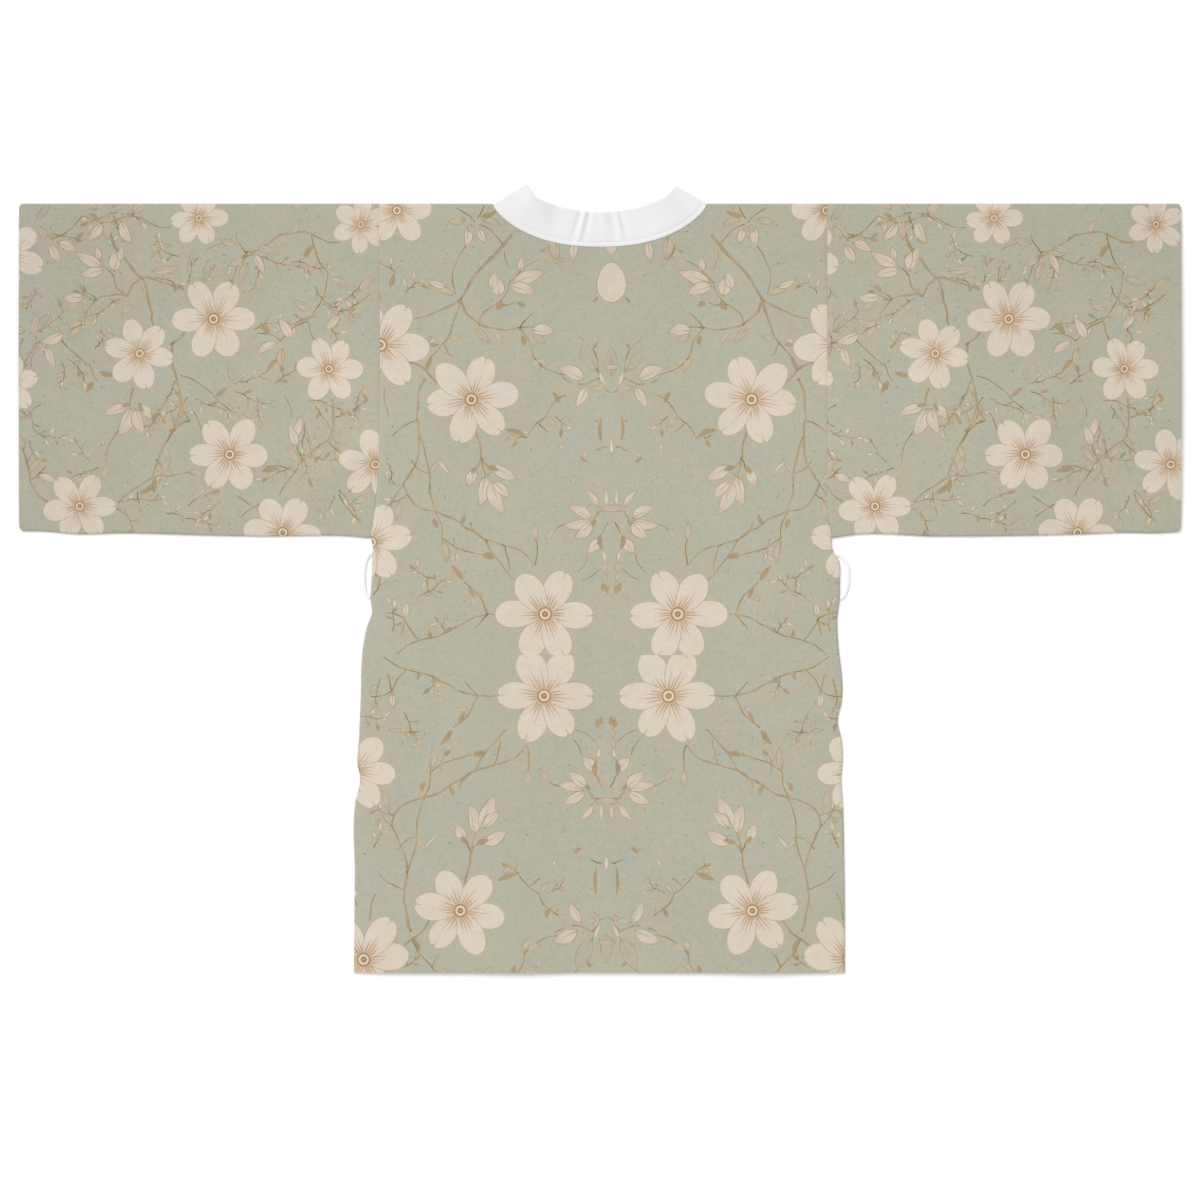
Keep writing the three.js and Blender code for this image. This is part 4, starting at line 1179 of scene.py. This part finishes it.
def band_ring(section):
    """One cross-section's outline: round edges, and the edge stitching's trough on its outer face."""
    along = (section.free - section.sewn).normalized()
    start = section.sewn + along * 2 * SEAM_SHOWN
    width = (section.free - start).length
    half = BAND_WALL / 2
    ins = [*BAND_EDGE_RINGS, 2.5] + [STITCH_IN + step for step in (-1.2, -0.5, 0.0, 0.5, 1.2)]
    ins += [lerp(STITCH_IN + 4, width - 3, s) for s in steps(7)]
    ins += [width - into for into in reversed(BAND_EDGE_RINGS)]
    outer, inner = [], []
    for inset in ins:
        at = start + along * inset
        middle = Vector((at.x, at.y, section.height(inset / width)))
        near = min(inset, width - inset, half) / half
        thick = half * math.sqrt(max(0.0, 1 - (1 - near) ** 2)) if near < 1 else half
        trough = STITCH_TROUGH[0] * float(bell(inset - STITCH_IN, STITCH_TROUGH[1]))
        outer.append(middle + section.normal * (thick - trough))
        if 0 < inset < width:
            inner.append(middle - section.normal * thick)
    return outer + inner[::-1]


def neckband_sections():
    """All cross-sections, from the left front's hem round the neck to the right front's."""
    right_fold, right_front = fold_sections("right")[::-1], front_sections("right")[::-1]
    return front_sections("left") + fold_sections("left") + back_sections() + right_fold + right_front


def ring_faces(count, size, first=0):
    """Faces that join rings of points to a closed tube with flat ends."""
    faces = []
    for lower in range(first, first + (count - 1) * size, size):
        for k in range(size):
            j = (k + 1) % size
            faces.append((lower + k, lower + j, lower + size + j, lower + size + k))
    last = first + (count - 1) * size
    return faces + [tuple(range(first, first + size))[::-1], tuple(range(last, last + size))]


def swept(name, rings, material, sharp=50):
    """A closed solid through rings of points."""
    verts = [p for ring in rings for p in ring]
    return make_object(name, verts, ring_faces(len(rings), len(rings[0])), material, sharp=sharp)


def thread_piece(name, stitches, material):
    """Many stitches as one mesh: each runs from a to b, with its face turned to normal."""
    verts, faces = [], []
    for a, b, normal in stitches:
        run = b - a
        side = run.cross(normal).normalized()
        faces += ring_faces(len(THREAD_RINGS), THREAD_SIDES, len(verts))
        for t, scale in THREAD_RINGS:
            middle = a + run * t
            for k in range(THREAD_SIDES):
                turn = math.tau * k / THREAD_SIDES
                out = side * math.cos(turn) + normal * math.sin(turn)
                verts.append(middle + out * (THREAD / 2 * scale))
    return make_object(name, verts, faces, material, sharp=60)


def stitches_along(points, normals, sink):
    """Even stitches along a line, with their middles sunk a little into the cloth."""
    found = []
    due = STITCH_PITCH / 2
    lengths = [0.0]
    for a, b in zip(points, points[1:]):
        lengths.append(lengths[-1] + (b - a).length)

    def at(distance):
        i = min(max(int(np.searchsorted(lengths, distance)), 1), len(points) - 1)
        t = (distance - lengths[i - 1]) / max(lengths[i] - lengths[i - 1], 1e-9)
        return points[i - 1].lerp(points[i], t), normals[i]

    while due + STITCH_LONG < lengths[-1]:
        (a, normal), (b, _) = at(due), at(due + STITCH_LONG)
        lift = normal * (THREAD / 2 - sink)
        found.append((a + lift, b + lift, normal))
        due += STITCH_PITCH
    return found


def neckband_stitches(material):
    points, normals = [], []
    for section in neckband_sections():
        along = (section.free - section.sewn).normalized()
        start = section.sewn + along * SEAM_GAP
        width = (section.free - start).length
        at = start + along * STITCH_IN
        middle = Vector((at.x, at.y, section.height(STITCH_IN / width)))
        points.append(middle + section.normal * (BAND_WALL / 2 - STITCH_TROUGH[0]))
        normals.append(section.normal)
    stitches = stitches_along(points, normals, BAND_STITCH_SUNK)
    return thread_piece("neckband_stitches", stitches, material)


def hem_stitches(material):
    """The rows that hold the back's hem and the cuffs, on the upper cloth."""
    inset = HEM_DEPTH - HEM_STITCH_IN
    left, right = (float(body_edge(side, BODY_LENGTH - inset)) for side in ("left", "right"))
    hem = stack(np.linspace(left + 3, right - 3, 260), SHOULDER_Y - BODY_LENGTH + inset)
    rows = [back_surface(hem)[0]]
    for side in ("left", "right"):
        x = hand_of(side) * (CUFF_X - inset)
        runs = np.linspace(4, float(sleeve_half_round(side, x)) - 4, 180)
        rows.append(sleeve_surface(side)(stack(x, runs))[0])
    stitches = []
    for row in rows:
        points = [Vector(p) for p in row.tolist()]
        stitches += stitches_along(points, [Vector((0, 0, 1))] * len(points), HEM_STITCH_SUNK)
    return thread_piece("hem_stitches", stitches, material)


def belt_loop(loop, material):
    """A strip that leaves a side seam and comes back to it in a half round."""
    hand = hand_of(loop.side)
    middle, half_height = (loop.top + loop.bottom) / 2, (loop.bottom - loop.top) / 2
    far, top = LOOP_STRIP - LOOP_EDGE, LOOP_WALL - LOOP_EDGE
    section = [(0, LOOP_EDGE), (LOOP_EDGE, 0), (far, 0), (LOOP_STRIP, LOOP_EDGE), (LOOP_STRIP, top)]
    section += [(far, LOOP_WALL), (LOOP_STRIP / 2, LOOP_WALL - LOOP_DIP), (LOOP_EDGE, LOOP_WALL), (0, top)]

    def seam(drop):
        return abs(float(body_edge(loop.side, drop)))

    clear = SEAM_GAP + max(seam(loop.top - LOOP_STRIP), seam(loop.top)) - seam(loop.top)
    rings = []
    for s in steps(44):
        c, high = math.cos(math.pi * (s - 0.5)), math.sin(math.pi * (s - 0.5))
        base = seam(middle + half_height * high) + clear
        ring = []
        for width, z in section:
            x = base + (loop.gap + width) * c
            ring.append((hand * x, SHOULDER_Y - middle - (half_height + width) * high, z))
        rings.append(ring)
    return swept(f"belt_loop_cloth_{loop.side}", rings, material, sharp=60)


# Materials


class Nodes:
    """Short ways to add and join shader nodes."""

    def __init__(self, name):
        self.material = bpy.data.materials.new(name)
        self.material.use_nodes = True
        self.tree = self.material.node_tree
        self.shader = self.tree.nodes["Principled BSDF"]

    def add(self, kind, **inputs):
        node = self.tree.nodes.new(kind)
        for key, value in inputs.items():
            self.put(node, key.replace("_", " ").title(), value)
        return node

    def put(self, node, socket, value):
        if isinstance(value, bpy.types.NodeSocket):
            self.tree.links.new(value, node.inputs[socket])
        else:
            node.inputs[socket].default_value = value

    def math(self, operation, a, b=0.0, c=0.0):
        node = self.tree.nodes.new("ShaderNodeMath")
        node.operation = operation
        for i, value in enumerate((a, b, c)):
            self.put(node, i, value)
        return node.outputs[0]

    def plus(self, a, b):
        return self.math("ADD", a, b)

    def times(self, a, b):
        return self.math("MULTIPLY", a, b)

    def scaled(self, value, factor, base=0.0):
        return self.math("MULTIPLY_ADD", value, factor, base)

    def shade(self, inputs):
        for socket, value in inputs.items():
            self.put(self.shader, socket, value)

    def mix(self, amount, a, b):
        node = self.tree.nodes.new("ShaderNodeMix")
        node.data_type = "RGBA"
        self.put(node, 0, amount)
        self.put(node, 6, a)
        self.put(node, 7, b)
        return node.outputs[2]

    def coordinates(self, scale):
        place = self.tree.nodes.new("ShaderNodeTexCoord")
        mapping = self.tree.nodes.new("ShaderNodeMapping")
        mapping.inputs["Scale"].default_value = scale
        self.tree.links.new(place.outputs["Object"], mapping.inputs["Vector"])
        return mapping.outputs[0]

    def noise(self, size, detail=3.0, scale=(1, 1, 1)):
        node = self.tree.nodes.new("ShaderNodeTexNoise")
        self.put(node, "Vector", self.coordinates(scale))
        self.put(node, "Scale", size)
        self.put(node, "Detail", detail)
        return node.outputs["Fac"]

    def threads(self, direction, size):
        node = self.tree.nodes.new("ShaderNodeTexWave")
        node.wave_type = "BANDS"
        node.bands_direction = direction
        self.put(node, "Vector", self.coordinates((1, 0, 0) if direction == "X" else (0, 1, 0)))
        self.put(node, "Scale", size)
        self.put(node, "Distortion", 0.6)
        self.put(node, "Detail", 1.0)
        return node.outputs["Fac"]


def srgb(*levels):
    """A linear colour from 0 to 255 screen levels."""
    return tuple(((v / 255 + 0.055) / 1.055) ** 2.4 if v > 10 else v / 255 / 12.92 for v in levels) + (1.0,)


def weave_bump(nodes, thread_size, strength, distance):
    """Gives a cloth the bump of its slubby plain weave, and hands back the slubs of both threads."""
    across, along = nodes.threads("X", thread_size), nodes.threads("Y", thread_size)
    slub_x, slub_y = nodes.noise(60, scale=(1, 14, 1)), nodes.noise(60, scale=(14, 1, 1))
    height = nodes.plus(nodes.times(across, slub_y), nodes.times(along, slub_x))
    bump = nodes.add("ShaderNodeBump", strength=strength, distance=distance, height=height)
    nodes.put(nodes.shader, "Normal", bump.outputs[0])
    return nodes.plus(slub_x, slub_y)


def printed_cloth():
    """Mottled sage ground with worn cream ink over it and tan ink over that, all a little uneven, and
    darkened by painted shade.
    """
    nodes = Nodes("printed_cloth")
    ink = nodes.tree.nodes.new("ShaderNodeAttribute")
    ink.attribute_name = "ink"
    split = nodes.tree.nodes.new("ShaderNodeSeparateColor")
    nodes.tree.links.new(ink.outputs["Color"], split.inputs[0])
    # The third channel is the painted shade on the ground, with its darkening towards the hem
    cream, tan, painted_shade_and_hem = split.outputs[:3]
    slubs = weave_bump(nodes, 420, 0.25, 0.0003)
    patches, grain = nodes.noise(95), nodes.noise(800, 1.0)

    mottle = nodes.plus(nodes.times(patches, 0.7), nodes.times(nodes.noise(16, 2.0), 0.3))
    ground = nodes.mix(nodes.scaled(mottle, 2.4, -0.7), srgb(178, 180.5, 163), srgb(187, 179, 160))
    petal = nodes.mix(patches, srgb(216, 203, 188), srgb(224, 211, 195))
    olive = nodes.mix(patches, srgb(120, 90, 34), srgb(172, 138, 66))
    amber = nodes.mix(patches, srgb(158, 112, 52), srgb(192, 146, 82))
    brown = nodes.mix(nodes.math("MINIMUM", cream, 1.0), olive, amber)
    worn = nodes.scaled(grain, 0.4, 0.8)
    colour = ground
    for amount, over in ((cream, petal), (tan, brown)):
        colour = nodes.mix(nodes.math("MINIMUM", nodes.times(amount, worn), 1.0), colour, over)

    flecked = nodes.plus(nodes.plus(grain, nodes.noise(330, 1.0)), nodes.times(slubs, 0.35))
    fleck_depth = nodes.scaled(cream, -0.09, 0.2)
    uneven = nodes.scaled(nodes.math("SUBTRACT", flecked, 1.34), fleck_depth, 1.0)
    clouds = nodes.scaled(nodes.noise(9, 2.0), 0.1, -0.05)
    uneven = nodes.plus(uneven, nodes.scaled(patches, 0.06, clouds))
    # Darker where the third channel holds painted shade on the shoulders and sleeves, and towards the hem
    shade = nodes.scaled(painted_shade_and_hem, -0.12, nodes.math("SUBTRACT", uneven, 0.03))
    shaded = nodes.add("ShaderNodeHueSaturation", value=shade, color=colour).outputs[0]
    nodes.shade({"Base Color": shaded, "Roughness": 0.88, "Specular IOR Level": 0.25, "Sheen Weight": 0.06})
    return nodes.material


def white_cloth(name, dark, light):
    nodes = Nodes(name)
    slubs = weave_bump(nodes, 520, 0.18, 0.0002)
    white = nodes.mix(nodes.scaled(slubs, 0.5), dark, light)
    nodes.shade({"Base Color": white, "Roughness": 0.8, "Specular IOR Level": 0.3, "Sheen Weight": 0.05})
    return nodes.material


def thread_material(name, dark, light):
    nodes = Nodes(name)
    nodes.shade({"Base Color": nodes.mix(nodes.noise(900, 1.0), dark, light), "Roughness": 0.6})
    return nodes.material


# Stage


def floor():
    """A wide white floor, just under the robe."""
    mesh = bpy.data.meshes.new("floor")
    reach, z = 30.0, -0.0002
    corners = [(-reach, -reach, z), (reach, -reach, z), (reach, reach, z), (-reach, reach, z)]
    mesh.from_pydata(corners, [], [(0, 1, 2, 3)])
    nodes = Nodes("floor_white")
    white = nodes.mix(nodes.noise(3, 1.0), srgb(250, 250, 250), srgb(252, 252, 252))
    nodes.shade({"Base Color": white, "Roughness": 0.95, "Specular IOR Level": 0.0})
    nodes.shade({"Emission Color": (1, 1, 1, 1), "Emission Strength": 0.08})
    mesh.materials.append(nodes.material)
    piece = bpy.data.objects.new("floor", mesh)
    bpy.context.scene.collection.objects.link(piece)


def lights():
    """A white surround, and one soft light from above that gives the folds their faint tones."""
    world = bpy.data.worlds.new("studio")
    world.use_nodes = True
    background = world.node_tree.nodes["Background"]
    background.inputs["Color"].default_value = (1, 1, 1, 1)
    background.inputs["Strength"].default_value = 0.62
    bpy.context.scene.world = world
    light = bpy.data.lights.new("soft_window", "SUN")
    light.angle = math.radians(34)
    light.energy = 1.75
    lamp = bpy.data.objects.new("soft_window", light)
    lamp.rotation_euler = Vector(LIGHT_WAY).to_track_quat("-Z", "Y").to_euler()
    bpy.context.scene.collection.objects.link(lamp)
    bpy.context.scene.view_settings.view_transform = "Standard"


def camera():
    """Straight above, framed as the photo."""
    data = bpy.data.cameras.new("camera")
    data.lens = LENS
    data.sensor_width = SENSOR
    data.clip_end = 200.0
    seen = bpy.data.objects.new("camera", data)
    frame_width = PHOTO_WIDTH * PIXEL
    seen.location = (0.0, VIEW_Y * MM, (frame_width * data.lens / data.sensor_width + IN_FOCUS) * MM)
    bpy.context.scene.collection.objects.link(seen)
    bpy.context.scene.camera = seen


def main():
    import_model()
    camera()
    floor()
    lights()
    cloth = printed_cloth()
    white = white_cloth("white_cloth", srgb(231, 231, 231), srgb(242, 242, 242))
    # The belt loops get a lighter copy of the white cloth: painted light that offsets the shade on their
    # rounded sides
    painted_light_white = white_cloth("painted_light_loop_cloth", srgb(247, 247, 247), srgb(253, 253, 253))
    sage_thread = thread_material("sage_thread", srgb(160, 158, 136), srgb(180, 178, 156))
    white_thread = thread_material("white_thread", srgb(228, 228, 228), srgb(240, 240, 240))

    back = back_panel(cloth)
    panels = {"back": (back, (0.540, 0.846), 0.428)}
    for side in ("left", "right"):
        panels[f"front_{side}"] = (front_panel(side, cloth), (0.228, 0.846), 0.171)
        panels[f"sleeve_{side}"] = (sleeve_panel(side, cloth), (0.392, 0.737), 0.286)
    band = swept("neckband_cloth", [band_ring(s) for s in neckband_sections()], white)
    loops = [belt_loop(loop, painted_light_white) for loop in BELT_LOOPS]
    hem_thread = hem_stitches(sage_thread)
    band_thread = neckband_stitches(white_thread)

    for node, (piece, flat, area) in panels.items():
        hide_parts(node)
    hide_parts("neckband")
    for piece, loop in zip(loops, BELT_LOOPS):
        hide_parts(f"belt_loop_{loop.side}")
    for piece in (*(p for p, _, _ in panels.values()), band, band_thread, hem_thread, *loops):
        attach(piece, "root")


main()
